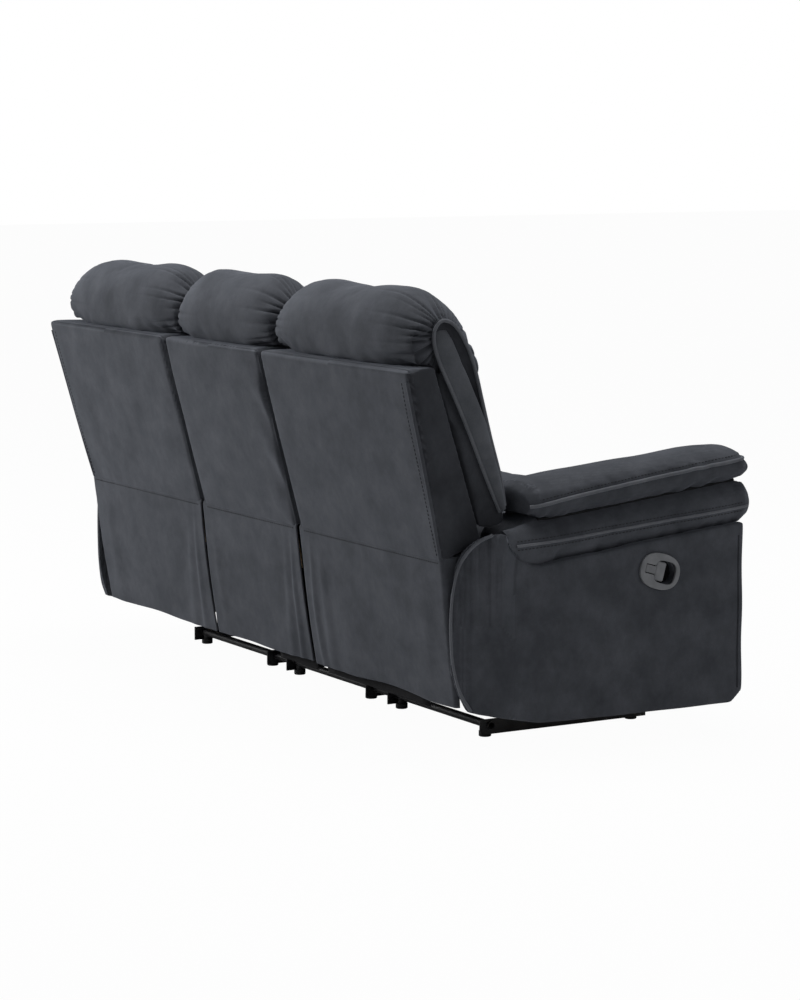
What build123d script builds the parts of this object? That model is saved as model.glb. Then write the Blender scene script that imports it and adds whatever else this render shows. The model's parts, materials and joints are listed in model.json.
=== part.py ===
from build123d import *

import math
import os

os.makedirs("parts", exist_ok=True)

# A three-seat manual reclining sofa, in millimetres.
# X runs across the width, -Y is the front, +Z is up and the feet stand on Z = 0.
# Left is the sitter's left (+X). Side pieces are drawn on the left and mirrored to the right.

# Clearances
soft_gap = 0.4  # between a soft piece and what it rests on
pin_gap = 0.05  # pin in its hole, on the radius
slide_gap = 0.4  # runner in its channel
plate_gap = 2.0  # between plates that pass each other
seat_gap = 6.0  # between seats, and between a seat and an arm
back_gap = 20.0  # between neighbouring back shells
head_gap = 6.0  # between neighbouring headrests

# Widths
arm_inner_x = 735.0
back_outer_x = 880.0
arm_beyond = 63.0  # how far an arm stands out beyond the back
seat_width = (2 * arm_inner_x - 4 * seat_gap) / 3
seat_mid_x = seat_width + seat_gap
seat_split_x = (seat_width + seat_gap) / 2
arm_outer_x = back_outer_x + arm_beyond

# Base: two cross tubes on glide feet, with upright side rails
tube_radius = 9.0
tube_wall = 1.5
tube_z = 28.0
tube_half_length = 712.0
rear_tube_y = 130.0
front_tube_y = -260.0
foot_radius = 14.0
foot_neck_radius = 8.0
foot_base_height = 12.0
foot_inset = 20.0  # from a rail's middle to its foot
rail_thickness = 4.0
rail_bottom_z = 8.0
rail_top_z = 42.0
rail_overhang = 26.0  # past each cross tube
mech_offset = 13.5  # mechanism's middle, outboard of the seat's middle
mech_half = 202.5  # mechanism's middle to the middle of its stand plates
middle_stand_x = 197.0
mech_mid_x = seat_mid_x + mech_offset

# Seat frames, springs and cushions
seat_front_y = -455.75
seat_rear_y = 205.0
frame_front_y = -360.0
frame_rear_y = 190.0
frame_bottom_z = 285.0
frame_height = 70.0
frame_rail = 25.0
frame_side_gap = 5.0
spring_wire = 4.0
spring_count = 4
spring_bends = 10
spring_swing = 24.0
seat_top_z = 484.0
seat_crown = 12.0
seat_nose_z = 338.0
frame_top_z = frame_bottom_z + frame_height
deck_z = frame_top_z + spring_wire + soft_gap

# Back shells: rear panel from the seam up to the top edge, open towards the front
seam_y, seam_z = 358.0, 430.0
shell_top_y, shell_top_z = 460.0, 841.0
groove_low_y, groove_low_z = 262.0, 470.0
groove_top_y = 378.0
shell_wall = 12.0
shell_round = 10.0
shell_flare = 20.0  # how much wider an outer shell is at its top
frame_depth = 30.0
back_rail_height = 25.0
back_rail_depth = 6.0
back_pivot_y, back_pivot_z = 215.0, 300.0
back_pin_radius = 7.0
bracket_thickness = 5.0
head_radius_extra = 4.0
head_thickness = 3.0

# Back cushions, on the shell's front plane
lumbar_bottom_z = 494.0
head_seam_z = 740.0
lumbar_depth = 118.0
wing_depth = 96.0
wing_inner_width = 56.0
head_top_z = 1006.0
head_rise = head_top_z - shell_top_z
head_outer_x = back_outer_x - 19.0
gusset_thickness = 23.0  # piped side panel over a headrest's and a wing's outer end
cushion_pull = 16.0  # how far the ends of a cushion draw in
flap_hem_y, flap_hem_z = 313.0, 113.0
flap_thickness = 7.0
flap_taper = 24.0
fold_pitch = 44.0
fold_depth = 11.0

# Arms: a box of panels under a lower roll and a top pad, both rising to the front
arm_front_y = -380.0
arm_back_y = 88.0
arm_bottom_z = 70.0
arm_slope = 0.11
arm_corner = 28.0  # lower front corner of the side panel
arm_turn_y = 215.0  # where the side panel turns in behind the seat
arm_rear_y = 345.0
arm_rear_skin = 5.0
arm_rear_clear = 1.5  # beside the back
hump_z = 488.0  # side panel's top behind the roll
roll_bottom_z = 423.0  # at Y = 0
roll_height = 102.0
roll_bulge = 7.0
roll_turn_y = 150.0  # where the roll's rounded rear end starts
roll_turn = 95.0
tail_clear = 13.0  # between the roll's rear end and the back
pad_height = 88.0
panel_thickness = 25.0
inner_thickness = 20.0
arm_board = 20.0
roll_front_y, roll_rear_y = -409.0, 200.0
pad_front_y, pad_rear_y = -403.0, 160.0

# Release handle: an oval cup with a hinged paddle, tilted front end down
handle_y, handle_z = -151.0, 381.0
handle_tilt = 16.0
flange_length, flange_height = 105.0, 78.0
cup_length, cup_height = 86.0, 58.0
cup_depth = 24.0
cup_wall = 2.5
flange_thickness = 6.0
paddle_pivot = 31.0
paddle_pin_radius = 2.5
paddle_thickness = 5.0
cable_radius = 3.0

# Recliner: stands, seat carriage, footrest links
channel_bottom_z, channel_top_z = 243.0, 273.0
channel_wall = 3.0
channel_depth = 10.5
carriage_thickness = 4.0
stand_rear_y, stand_front_y = 80.0, -230.0
runner_rear_y = 150.0
link_thickness = 5.0
link_width = 26.0
link_pin_radius = 5.0
torque_radius = 11.0
pivot_a_y, pivot_a_z = -150.0, 262.0
rear_link_length, rear_link_angle = 195.0, -150.0
front_link_length, front_link_angle = 375.0, -5.0

# Footrests and the matching front panel of the middle seat
footrest_rear_y = -369.0
footrest_bottom_z, footrest_top_z = 84.0, 328.0
footrest_crown = 14.0
bracket_foot = 130.0
cover_thickness = 1.5
cover_z = 100.0

near_edge = 0.1  # station of the second section of a padded piece
near_fill = 0.74  # its fullness there


def keep(part, name):
    """Label one finished piece and write it to its own file."""
    part.label = name
    export_step(part, f"parts/{name}.step")


def keep_pair(part, name):
    """Keep a left piece and its mirror image."""
    keep(part, "left_" + name)
    keep(mirror(part, about=Plane.YZ), "right_" + name)


def face_of(plane, outline):
    """A closed face. Each step is (end,) for a line or (via, end) for an arc."""
    with BuildSketch(plane) as face:
        with BuildLine():
            start = outline[-1][-1]
            for step in outline:
                if len(step) == 1:
                    Line(start, step[0])
                else:
                    ThreePointArc(start, *step)
                start = step[-1]
        make_face()
    return face.sketch


def polygon(plane, *points):
    """A closed face with straight sides."""
    return face_of(plane, [(point,) for point in points])


def mix(slack, full, share):
    """An outline between a drawn-in one and a full one."""
    return [
        tuple((s[0] + (f[0] - s[0]) * share, s[1] + (f[1] - s[1]) * share) for s, f in zip(a, b))
        for a, b in zip(slack, full)
    ]


def puffed(slack, full, x0, x1):
    """A crowned pad lofted across X, drawn in at both ends."""
    edge = near_edge * (x1 - x0)
    stations = (
        (x0, 0.0),
        (x0 + edge, near_fill),
        ((x0 + x1) / 2, 1.0),
        (x1 - edge, near_fill),
        (x1, 0.0),
    )
    with BuildPart() as pad:
        loft(sections=[face_of(Plane.YZ.offset(x), mix(slack, full, t)) for x, t in stations])
    return pad.part


def groove_y(z):
    """Y of the shell's front plane, which the back cushions rest on."""
    slope = (groove_top_y - groove_low_y) / (shell_top_z - groove_low_z)
    return groove_low_y + (z - groove_low_z) * slope


def rear_y(z, inset=0.0):
    """Y of the shell's rear panel at a height, moved in by a wall."""
    run, rise = shell_top_y - seam_y, shell_top_z - seam_z
    return seam_y + (z - seam_z) * run / rise - inset * math.hypot(run, rise) / rise


def reach(start, length, angle):
    """The far end of a link; angles rise from straight ahead (-Y)."""
    turn = math.radians(angle)
    return start[0] - length * math.cos(turn), start[1] + length * math.sin(turn)


def roll_z(y):
    """Height of the lower roll's underside along the arm."""
    return roll_bottom_z - arm_slope * y


def seat_sides(mid_x):
    """Both edges of a seat."""
    return mid_x - seat_width / 2, mid_x + seat_width / 2


# Base


def make_tubes():
    """Front and rear cross tubes."""
    with BuildPart() as tubes:
        with BuildSketch(Plane.YZ.offset(-tube_half_length)):
            with Locations((rear_tube_y, tube_z), (front_tube_y, tube_z)):
                Circle(tube_radius)
                Circle(tube_radius - tube_wall, mode=Mode.SUBTRACT)
        extrude(amount=2 * tube_half_length)
    return tubes.part


def stand_middles():
    """X of the middle of every stand plate, left to right side."""
    left = (middle_stand_x, mech_mid_x - mech_half, mech_mid_x + mech_half)
    return [-x for x in reversed(left)] + list(left)


def foot_middles():
    """X of every foot: each stands beside its rail, towards the mechanism's middle."""
    left = (
        middle_stand_x - foot_inset,
        mech_mid_x - mech_half + foot_inset,
        mech_mid_x + mech_half - foot_inset,
    )
    return [-x for x in reversed(left)] + list(left)


def make_feet():
    """Glide feet with a neck saddled under the tubes."""
    with BuildPart() as feet:
        with Locations([(x, y) for x in foot_middles() for y in (rear_tube_y, front_tube_y)]):
            Cylinder(foot_radius, foot_base_height, align=(Align.CENTER, Align.CENTER, Align.MIN))
            Cylinder(foot_neck_radius, tube_z, align=(Align.CENTER, Align.CENTER, Align.MIN))
        with BuildSketch(Plane.YZ.offset(-tube_half_length)):
            with Locations((rear_tube_y, tube_z), (front_tube_y, tube_z)):
                Circle(tube_radius + pin_gap)
        extrude(amount=2 * tube_half_length, mode=Mode.SUBTRACT)
        chamfer(feet.edges().filter_by(GeomType.CIRCLE).group_by(Axis.Z)[0], 1.5)
    return feet.part


def make_rails():
    """Flat side rails on edge, with the cross tubes through them."""
    with BuildPart() as rails:
        for x in stand_middles():
            with BuildSketch(Plane.YZ.offset(x - rail_thickness / 2)):
                with BuildLine():
                    Polyline(
                        (front_tube_y - rail_overhang, rail_bottom_z),
                        (rear_tube_y + rail_overhang, rail_bottom_z),
                        (rear_tube_y + rail_overhang, rail_top_z),
                        (front_tube_y - rail_overhang, rail_top_z),
                        close=True,
                    )
                make_face()
                with Locations((rear_tube_y, tube_z), (front_tube_y, tube_z)):
                    Circle(tube_radius + pin_gap, mode=Mode.SUBTRACT)
            extrude(amount=rail_thickness)
    return rails.part


def make_middle_stands():
    """Plates that carry the fixed middle seat, its front panel and its back."""
    strut_y, strut_z = (-90.0, -50.0), (110.0, 135.0)
    strut_length = mech_mid_x - mech_half - middle_stand_x - rail_thickness
    with BuildPart() as stands:
        for side in (-1, 1):
            plane = Plane.YZ.offset(side * middle_stand_x - rail_thickness / 2)
            plate = polygon(
                plane,
                (front_tube_y, rail_top_z),
                (stand_rear_y, rail_top_z),
                (frame_rear_y, cover_z),
                (frame_rear_y + 3, frame_bottom_z - 5),
                (back_pivot_y + 20, back_pivot_z - 6),
                (back_pivot_y + 14, back_pivot_z + 15),
                (back_pivot_y - 18, back_pivot_z + 15),
                (frame_rear_y + 3, frame_bottom_z),
                (frame_front_y, frame_bottom_z),
                (footrest_rear_y, frame_bottom_z - 20),
                (footrest_rear_y, cover_z),
            )
            extrude(plate, amount=rail_thickness)
            with BuildSketch(plane):
                with Locations((back_pivot_y, back_pivot_z)):
                    Circle(back_pin_radius + pin_gap)
            extrude(amount=rail_thickness, mode=Mode.SUBTRACT)
            strut_x = side * (middle_stand_x + rail_thickness / 2 + strut_length / 2)
            with Locations((strut_x, sum(strut_y) / 2, sum(strut_z) / 2)):
                Box(strut_length, strut_y[1] - strut_y[0], strut_z[1] - strut_z[0])
    return stands.part


def make_dust_cover():
    """Black cloth stretched under the middle seat, between its stands."""
    half = middle_stand_x - rail_thickness / 2
    with BuildPart() as cover:
        with BuildSketch(Plane.XY.offset(cover_z)):
            with Locations((0, (footrest_rear_y + frame_rear_y) / 2)):
                Rectangle(2 * half, frame_rear_y - footrest_rear_y)
        extrude(amount=cover_thickness)
    return cover.part


# Recliner mechanism of the left seat


def make_stands():
    """Left and right stand plates with the channels that the seat glides in."""
    with BuildPart() as stands:
        for side in (-1, 1):
            inner = mech_mid_x + side * (mech_half - rail_thickness / 2)
            plate = polygon(
                Plane.YZ.offset(mech_mid_x + side * mech_half - rail_thickness / 2),
                (stand_front_y + 40, rail_top_z),
                (stand_rear_y - 30, rail_top_z),
                (stand_rear_y, channel_bottom_z),
                (stand_rear_y, channel_top_z),
                (stand_front_y, channel_top_z),
                (stand_front_y, channel_bottom_z),
            )
            extrude(plate, amount=rail_thickness)
            for z in (channel_bottom_z, channel_top_z - channel_wall):
                flange = polygon(
                    Plane.XY.offset(z),
                    (inner, stand_front_y),
                    (inner, stand_rear_y),
                    (inner - side * channel_depth, stand_rear_y),
                    (inner - side * channel_depth, stand_front_y),
                )
                extrude(flange, amount=channel_wall)
        strut_start = mech_mid_x + mech_half + rail_thickness / 2
        with Locations(((strut_start + arm_inner_x) / 2, -70, 122.5)):
            Box(arm_inner_x - strut_start, 40, 25)
    return stands.part


def make_carriage():
    """Two runners that slide in the channels, with plates that carry the seat and the back."""
    runner_bottom = channel_bottom_z + channel_wall + slide_gap
    runner_top = channel_top_z - channel_wall - slide_gap
    stand_face = mech_half - rail_thickness / 2
    plate_outer = stand_face - channel_depth - 3.5
    with BuildPart() as carriage:
        for side in (-1, 1):
            near = mech_mid_x + side * plate_outer
            far = mech_mid_x + side * (stand_face - slide_gap)
            plate = polygon(
                Plane.YZ.offset(near - carriage_thickness * (side + 1) / 2),
                (stand_front_y, channel_bottom_z - 3),
                (runner_rear_y, channel_bottom_z - 3),
                (back_pivot_y + 21, back_pivot_z - 12),
                (back_pivot_y + 21, back_pivot_z + 8),
                (back_pivot_y + 8, back_pivot_z + 21),
                (back_pivot_y - 8, back_pivot_z + 21),
                (frame_rear_y + 3, back_pivot_z + 6),
                (frame_rear_y + 3, frame_bottom_z),
                (stand_front_y, frame_bottom_z),
            )
            extrude(plate, amount=carriage_thickness)
            runner = polygon(
                Plane.XY.offset(runner_bottom),
                (near, stand_front_y),
                (near, runner_rear_y),
                (far, runner_rear_y),
                (far, stand_front_y),
            )
            extrude(runner, amount=runner_top - runner_bottom)
        for y, z, radius in (
            (pivot_a_y, pivot_a_z, torque_radius),
            (back_pivot_y, back_pivot_z, back_pin_radius),
        ):
            with BuildSketch(Plane.YZ.offset(mech_mid_x - plate_outer)):
                with Locations((y, z)):
                    Circle(radius + pin_gap)
            extrude(amount=2 * plate_outer, mode=Mode.SUBTRACT)
    return carriage.part


carriage_inner = mech_half - rail_thickness / 2 - channel_depth - 3.5 - carriage_thickness
rear_link_x = carriage_inner - plate_gap - link_thickness
front_link_x = rear_link_x - plate_gap - link_thickness
foot_bracket_x = front_link_x - plate_gap - link_thickness
pivot_a = (pivot_a_y, pivot_a_z)
pivot_b = reach(pivot_a, rear_link_length, rear_link_angle)
pivot_c = reach(pivot_b, front_link_length, front_link_angle)


def span(start, side, near, far):
    """The plane and length of an extrusion between two distances from the mechanism's middle."""
    low, high = sorted((side * near, side * far))
    return Plane.YZ.offset(start + low), high - low


def make_rear_links():
    """Rear footrest links welded to their torque tube, with the pins for the front links."""
    middle = ((pivot_a[0] + pivot_b[0]) / 2, (pivot_a[1] + pivot_b[1]) / 2)
    pin_end = front_link_x - plate_gap / 2
    with BuildPart() as links:
        outer = carriage_inner + carriage_thickness
        plane, length = span(mech_mid_x, 1, -outer, outer)
        with BuildSketch(plane):
            with Locations(pivot_a):
                Circle(torque_radius)
        extrude(amount=length)
        for side in (-1, 1):
            plane, length = span(mech_mid_x, side, rear_link_x, rear_link_x + link_thickness)
            with BuildSketch(plane):
                with Locations(middle):
                    SlotCenterToCenter(rear_link_length, link_width, rotation=-rear_link_angle)
            extrude(amount=length)
            plane, length = span(mech_mid_x, side, pin_end, rear_link_x)
            with BuildSketch(plane):
                with Locations(pivot_b):
                    Circle(link_pin_radius)
            extrude(amount=length)
            plane, length = span(mech_mid_x, side, pin_end - head_thickness, pin_end)
            with BuildSketch(plane):
                with Locations(pivot_b):
                    Circle(link_pin_radius + head_radius_extra)
            extrude(amount=length)
    return links.part


def make_front_links():
    """Front footrest links, bored for the rear links' pins and with pins for the brackets."""
    middle = ((pivot_b[0] + pivot_c[0]) / 2, (pivot_b[1] + pivot_c[1]) / 2)
    pin_end = foot_bracket_x - plate_gap / 2
    with BuildPart() as links:
        for side in (-1, 1):
            plane, length = span(mech_mid_x, side, front_link_x, front_link_x + link_thickness)
            with BuildSketch(plane):
                with Locations(middle):
                    SlotCenterToCenter(front_link_length, link_width - 2, rotation=-front_link_angle)
                with Locations(pivot_b):
                    Circle(link_pin_radius + pin_gap, mode=Mode.SUBTRACT)
            extrude(amount=length)
            plane, length = span(mech_mid_x, side, pin_end, front_link_x)
            with BuildSketch(plane):
                with Locations(pivot_c):
                    Circle(link_pin_radius)
            extrude(amount=length)
            plane, length = span(mech_mid_x, side, pin_end - head_thickness, pin_end)
            with BuildSketch(plane):
                with Locations(pivot_c):
                    Circle(link_pin_radius + head_radius_extra)
            extrude(amount=length)
    return links.part


def make_footrest_brackets():
    """Steel ears behind the footrest, bored for the front links' pins."""
    low = pivot_c[1] - 20
    with BuildPart() as brackets:
        for side in (-1, 1):
            plane, length = span(mech_mid_x, side, foot_bracket_x, foot_bracket_x + link_thickness)
            ear = polygon(
                plane,
                (footrest_rear_y, low),
                (footrest_rear_y, low + bracket_foot),
                (footrest_rear_y + 10, low + bracket_foot),
                (pivot_c[0] + 13, pivot_c[1] + 8),
                (pivot_c[0] + 13, pivot_c[1] - 8),
                (pivot_c[0] + 5, low),
            )
            extrude(ear, amount=length)
            with BuildSketch(plane):
                with Locations(pivot_c):
                    Circle(link_pin_radius + pin_gap)
            extrude(amount=length, mode=Mode.SUBTRACT)
    return brackets.part


def footrest_outline(share):
    """Section of a padded front panel: flat behind, rolled top and bottom, crowned in front."""
    front = seat_front_y + footrest_crown + cushion_pull * (1 - share) - footrest_crown * share
    low = footrest_bottom_z + 4 * (1 - share)
    high = footrest_top_z - 4 * (1 - share)
    corner = 34.0
    return [
        ((footrest_rear_y, low),),
        ((front + corner, low),),
        ((front + corner * 0.3, low + corner * 0.3), (front + 6, low + corner)),
        ((front, (low + high) / 2), (front + 6, high - corner)),
        ((front + corner * 0.3, high - corner * 0.3), (front + corner, high)),
        ((footrest_rear_y, high),),
    ]


def make_front_pad(mid_x):
    """Padded front panel: a footrest on the outer seats, fixed under the middle one."""
    x0, x1 = seat_sides(mid_x)
    return puffed(footrest_outline(0), footrest_outline(1), x0, x1)


# Seats


def make_seat_frame(mid_x):
    """Timber box frame."""
    width = seat_width - 2 * frame_side_gap
    depth = frame_rear_y - frame_front_y
    with BuildPart() as frame:
        with BuildSketch(Plane.XY.offset(frame_bottom_z)):
            with Locations((mid_x, (frame_rear_y + frame_front_y) / 2)):
                Rectangle(width, depth)
                Rectangle(width - 2 * frame_rail, depth - 2 * frame_rail, mode=Mode.SUBTRACT)
        extrude(amount=frame_height)
    return frame.part


def make_seat_springs(mid_x):
    """Sinuous springs stretched from the front rail to the rear rail."""
    start, end = frame_front_y + frame_rail / 2, frame_rear_y - frame_rail / 2
    pitch = (end - start) / spring_bends
    spacing = (seat_width - 2 * frame_side_gap - 2 * frame_rail) / spring_count
    z = frame_top_z + spring_wire / 2
    with BuildPart() as springs:
        for i in range(spring_count):
            x = mid_x + (i - (spring_count - 1) / 2) * spacing
            points = [(x, start, z)]
            for bend in range(spring_bends):
                swing = spring_swing if bend % 2 else -spring_swing
                points.append((x + swing, start + (bend + 0.25) * pitch, z))
                points.append((x + swing, start + (bend + 0.75) * pitch, z))
            points.append((x, end, z))
            with BuildLine() as wire:
                FilletPolyline(*points, radius=pitch * 0.22)
            with BuildSketch(Plane(origin=wire.line @ 0, z_dir=wire.line % 0)):
                Circle(spring_wire / 2)
            sweep(path=wire.line)
    return springs.part


def seat_outline(share):
    """Section of a seat cushion: flat base, crowned top and a nose that rolls down in front."""
    top = seat_top_z - 16 * (1 - share)
    front = seat_front_y + cushion_pull * (1 - share)
    rear = seat_rear_y - cushion_pull / 2 * (1 - share)
    nose_rear = frame_front_y - soft_gap
    middle = (seat_front_y + seat_rear_y) / 2
    return [
        ((nose_rear, deck_z),),
        ((nose_rear, seat_nose_z),),
        ((front + 40, seat_nose_z),),
        ((front + 10, seat_nose_z + 12), (front, seat_nose_z + 46)),
        ((front + 22, top - 36), (front + 95, top - 6)),
        ((middle, top + seat_crown * share), (rear - 30, top - 8)),
        ((rear - 4, top - 22), (rear, top - 52)),
        ((rear - 4, deck_z),),
    ]


def make_seat_cushion(mid_x):
    """Foam seat cushion with a crowned top."""
    x0, x1 = seat_sides(mid_x)
    return puffed(seat_outline(0), seat_outline(1), x0, x1)


# Backs


def make_back_frame(x0, x1, mid_x, ear_outer):
    """Welded steel back frame: stiles, rails, and pivot brackets with their pins."""
    low, high = seam_z + 15, shell_top_z - shell_wall - 8
    bracket_near = ear_outer + plate_gap
    bracket_far = bracket_near + bracket_thickness
    rear = shell_wall + soft_gap
    front = rear + frame_depth
    with BuildPart() as frame:
        for side in (-1, 1):
            plane, length = span(mid_x, side, bracket_near, bracket_far)
            stile = polygon(
                plane,
                (rear_y(low, front), low),
                (rear_y(low, rear), low),
                (rear_y(high, rear), high),
                (rear_y(high, front), high),
            )
            extrude(stile, amount=length)
            bracket = polygon(
                plane,
                (back_pivot_y - 18, back_pivot_z - 8),
                (back_pivot_y + 4, back_pivot_z - 20),
                (back_pivot_y + 22, back_pivot_z - 8),
                (rear_y(low, rear) - 4, low),
                (rear_y(low, front), low + 60),
                (rear_y(low, front), low),
                (back_pivot_y - 18, back_pivot_z + 14),
            )
            extrude(bracket, amount=length)
            pin_end = ear_outer - carriage_thickness - plate_gap / 2
            plane, length = span(mid_x, side, pin_end, bracket_near)
            with BuildSketch(plane):
                with Locations((back_pivot_y, back_pivot_z)):
                    Circle(back_pin_radius)
            extrude(amount=length)
            plane, length = span(mid_x, side, pin_end - head_thickness, pin_end)
            with BuildSketch(plane):
                with Locations((back_pivot_y, back_pivot_z)):
                    Circle(back_pin_radius + head_radius_extra)
            extrude(amount=length)
        for z in (low, (low + high) / 2, high - back_rail_height):
            top = z + back_rail_height
            rail = polygon(
                Plane.YZ.offset(x0 + shell_wall),
                (rear_y(z, rear + back_rail_depth), z),
                (rear_y(z, rear), z),
                (rear_y(top, rear), top),
                (rear_y(top, rear + back_rail_depth), top),
            )
            extrude(rail, amount=x1 - x0 - 2 * shell_wall)
    return frame.part


def shell_block(x0, x1, flare, wall):
    """Side view and front view of a shell, or of the hollow inside its wall, extruded into each other."""
    low = seam_z - wall
    top = shell_top_z - wall
    front = groove_low_y if wall else groove_y(seam_z)
    with BuildPart() as block:
        side = polygon(
            Plane.YZ.offset(x0 + wall),
            (rear_y(low, wall), low),
            (rear_y(top, wall), top),
            (front if wall else groove_top_y, top),
            (back_pivot_y if wall else front, low),
        )
        extrude(side, amount=x1 + flare - x0)
        outline = polygon(
            Plane.XZ.offset(-2 * shell_top_y),
            (x0 + wall, low),
            (x1 - wall, low),
            (x1 + flare - wall, top),
            (x0 + wall, top),
        )
        extrude(outline, amount=2 * shell_top_y, mode=Mode.INTERSECT)
    return block.part


def make_back_shell(x0, x1, flare):
    """Upholstered rear shell: back panel, side gussets and top, open in front and below."""
    with BuildPart() as shell:
        add(shell_block(x0, x1, flare, 0))
        rear_face = shell.faces().sort_by(lambda face: face.normal_at().Y)[-1]
        fillet(rear_face.edges().sort_by(Axis.Z)[1:], shell_round)
        under = polygon(
            Plane.YZ.offset(x0),
            (groove_y(seam_z) - shell_wall, groove_low_z),
            (groove_low_y, groove_low_z),
            (seam_y, seam_z),
            (groove_y(seam_z) - shell_wall, seam_z),
        )
        extrude(under, amount=x1 + flare - x0, mode=Mode.SUBTRACT)
        add(shell_block(x0, x1, flare, shell_wall), mode=Mode.SUBTRACT)
    return shell.part


def bolster_outline(depth, share, low, high):
    """Section of a pad on the shell's front plane, rolled at its lower and upper ends."""
    thick = depth - cushion_pull * (1 - share)
    crown = cushion_pull * (0.2 + 0.8 * share)
    corner = 34.0
    middle = (low + high) / 2

    def at(z, out):
        return groove_y(z) - soft_gap - out, z

    return [
        (at(low, 0),),
        (at(low, thick - corner),),
        (at(low + corner * 0.3, thick - corner * 0.3), at(low + corner, thick)),
        (at(middle, thick + crown), at(high - corner, thick)),
        (at(high - corner * 0.3, thick - corner * 0.3), at(high, thick - corner)),
        (at(high, 0),),
    ]


def make_bolster(x0, x1, depth):
    """Pad between the seat and the headrest."""
    low, high = lumbar_bottom_z, head_seam_z - 2 * soft_gap
    return puffed(bolster_outline(depth, 0, low, high), bolster_outline(depth, 1, low, high), x0, x1)


def make_gusset():
    """Side panel that runs up a wing's outer end and loops round the end of the headrest."""
    loop = head_rise / 165.0

    def at(ahead, z):
        return groove_y(z) - soft_gap - ahead, z

    with BuildPart() as gusset:
        side = face_of(
            Plane.YZ.offset(head_outer_x + soft_gap),
            [
                (at(26, shell_top_z),),
                (at(40, shell_top_z + 52 * loop), at(60, shell_top_z + 84 * loop)),
                (at(84, shell_top_z + 84 * loop + 16), at(108, shell_top_z + 84 * loop)),
                (at(120, shell_top_z + 40 * loop), at(122, shell_top_z - 10)),
                (at(wing_depth + 8, head_seam_z - 18),),
                (at(wing_depth + 6, lumbar_bottom_z + 98),),
                (at(wing_depth - 12, lumbar_bottom_z + 46),),
                (at(62, lumbar_bottom_z + 30),),
            ],
        )
        extrude(side, amount=gusset_thickness)
        fillet(gusset.faces().sort_by(Axis.X)[-1].edges(), gusset_thickness * 0.3)
    return gusset.part


def make_wings(x0, x1):
    """Side bolsters of an outer back: a narrow one inside, a wide one with its side panel outside."""
    with BuildPart() as wings:
        add(make_bolster(x0, x0 + wing_inner_width, wing_depth))
        add(make_bolster(arm_inner_x + soft_gap, x1, wing_depth))
        add(make_gusset())
    return wings.part


def head_outline(share):
    """Section of a headrest: it sits on the shell's top edge and folds down its front."""
    seat_z = shell_top_z + soft_gap
    back = groove_top_y + 38 + 16 * share
    top = seat_z + head_rise * (0.60 + 0.40 * share)
    front = groove_y(head_seam_z) - lumbar_depth + 40 * (1 - share)
    return [
        ((groove_y(head_seam_z) - soft_gap, head_seam_z),),
        ((groove_top_y - soft_gap, seat_z),),
        ((back, seat_z),),
        ((back + 16, seat_z + (top - seat_z) * 0.5), (groove_top_y - 8, top)),
        ((front + 68, top - head_rise * (0.07 + 0.07 * share)), (front + 12, seat_z + head_rise * 0.28)),
        ((front - 12, seat_z - 30), (front, head_seam_z)),
    ]


def make_headrest(x0, x1):
    """Stuffed headrest roll."""
    return puffed(head_outline(0), head_outline(1), x0, x1)


def flap_outline(x0, x1, y, depth):
    """Plan of a hanging flap: flat across the middle, with soft folds beside both edges."""
    folds = 2
    half = fold_pitch / 2

    def run(front):
        path = []
        for i in range(2 * folds):
            start = x0 + i * half
            swell = depth if i % 2 else -depth
            path.append(((start + half / 2, front + swell / 2), (start + half, front)))
        path.append(((x1 - 2 * folds * half, front),))
        for i in range(2 * folds):
            start = x1 - 2 * folds * half + i * half
            swell = -depth if i % 2 else depth
            path.append(((start + half / 2, front + swell / 2), (start + half, front)))
        return path

    there = run(y)
    points = [(x0, y)] + [step[-1] for step in there]
    back = []
    for i in reversed(range(len(there))):
        end = (points[i][0], points[i][1] - flap_thickness)
        vias = [(p[0], p[1] - flap_thickness) for p in there[i][:-1]]
        back.append((*vias, end))
    corner = (points[-1][0], points[-1][1] - flap_thickness)
    return there + [(corner,)] + back + [((x0, y),)]


def make_flap(x0, x1, taper0, taper1):
    """Cloth flap that hangs from the shell's seam and hides the mechanism."""
    with BuildPart() as flap:
        top = flap_outline(x0, x1, seam_y - 2, fold_depth * 0.3)
        hem = flap_outline(x0 + taper0, x1 - taper1, flap_hem_y, fold_depth * 2)
        loft(
            sections=[
                face_of(Plane.XY.offset(flap_hem_z), hem),
                face_of(Plane.XY.offset(seam_z - soft_gap), top),
            ],
            ruled=True,
        )
    return flap.part


# Left arm


def turn_in(x, y, end_x, end_y):
    """The middle of an arc that leaves the side's line and ends at a point further in."""
    inward, run = x - end_x, end_y - y
    radius = (inward**2 + run**2) / (2 * inward)
    half = math.asin(run / radius) / 2
    return x - radius * (1 - math.cos(half)), y + radius * math.sin(half)


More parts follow.
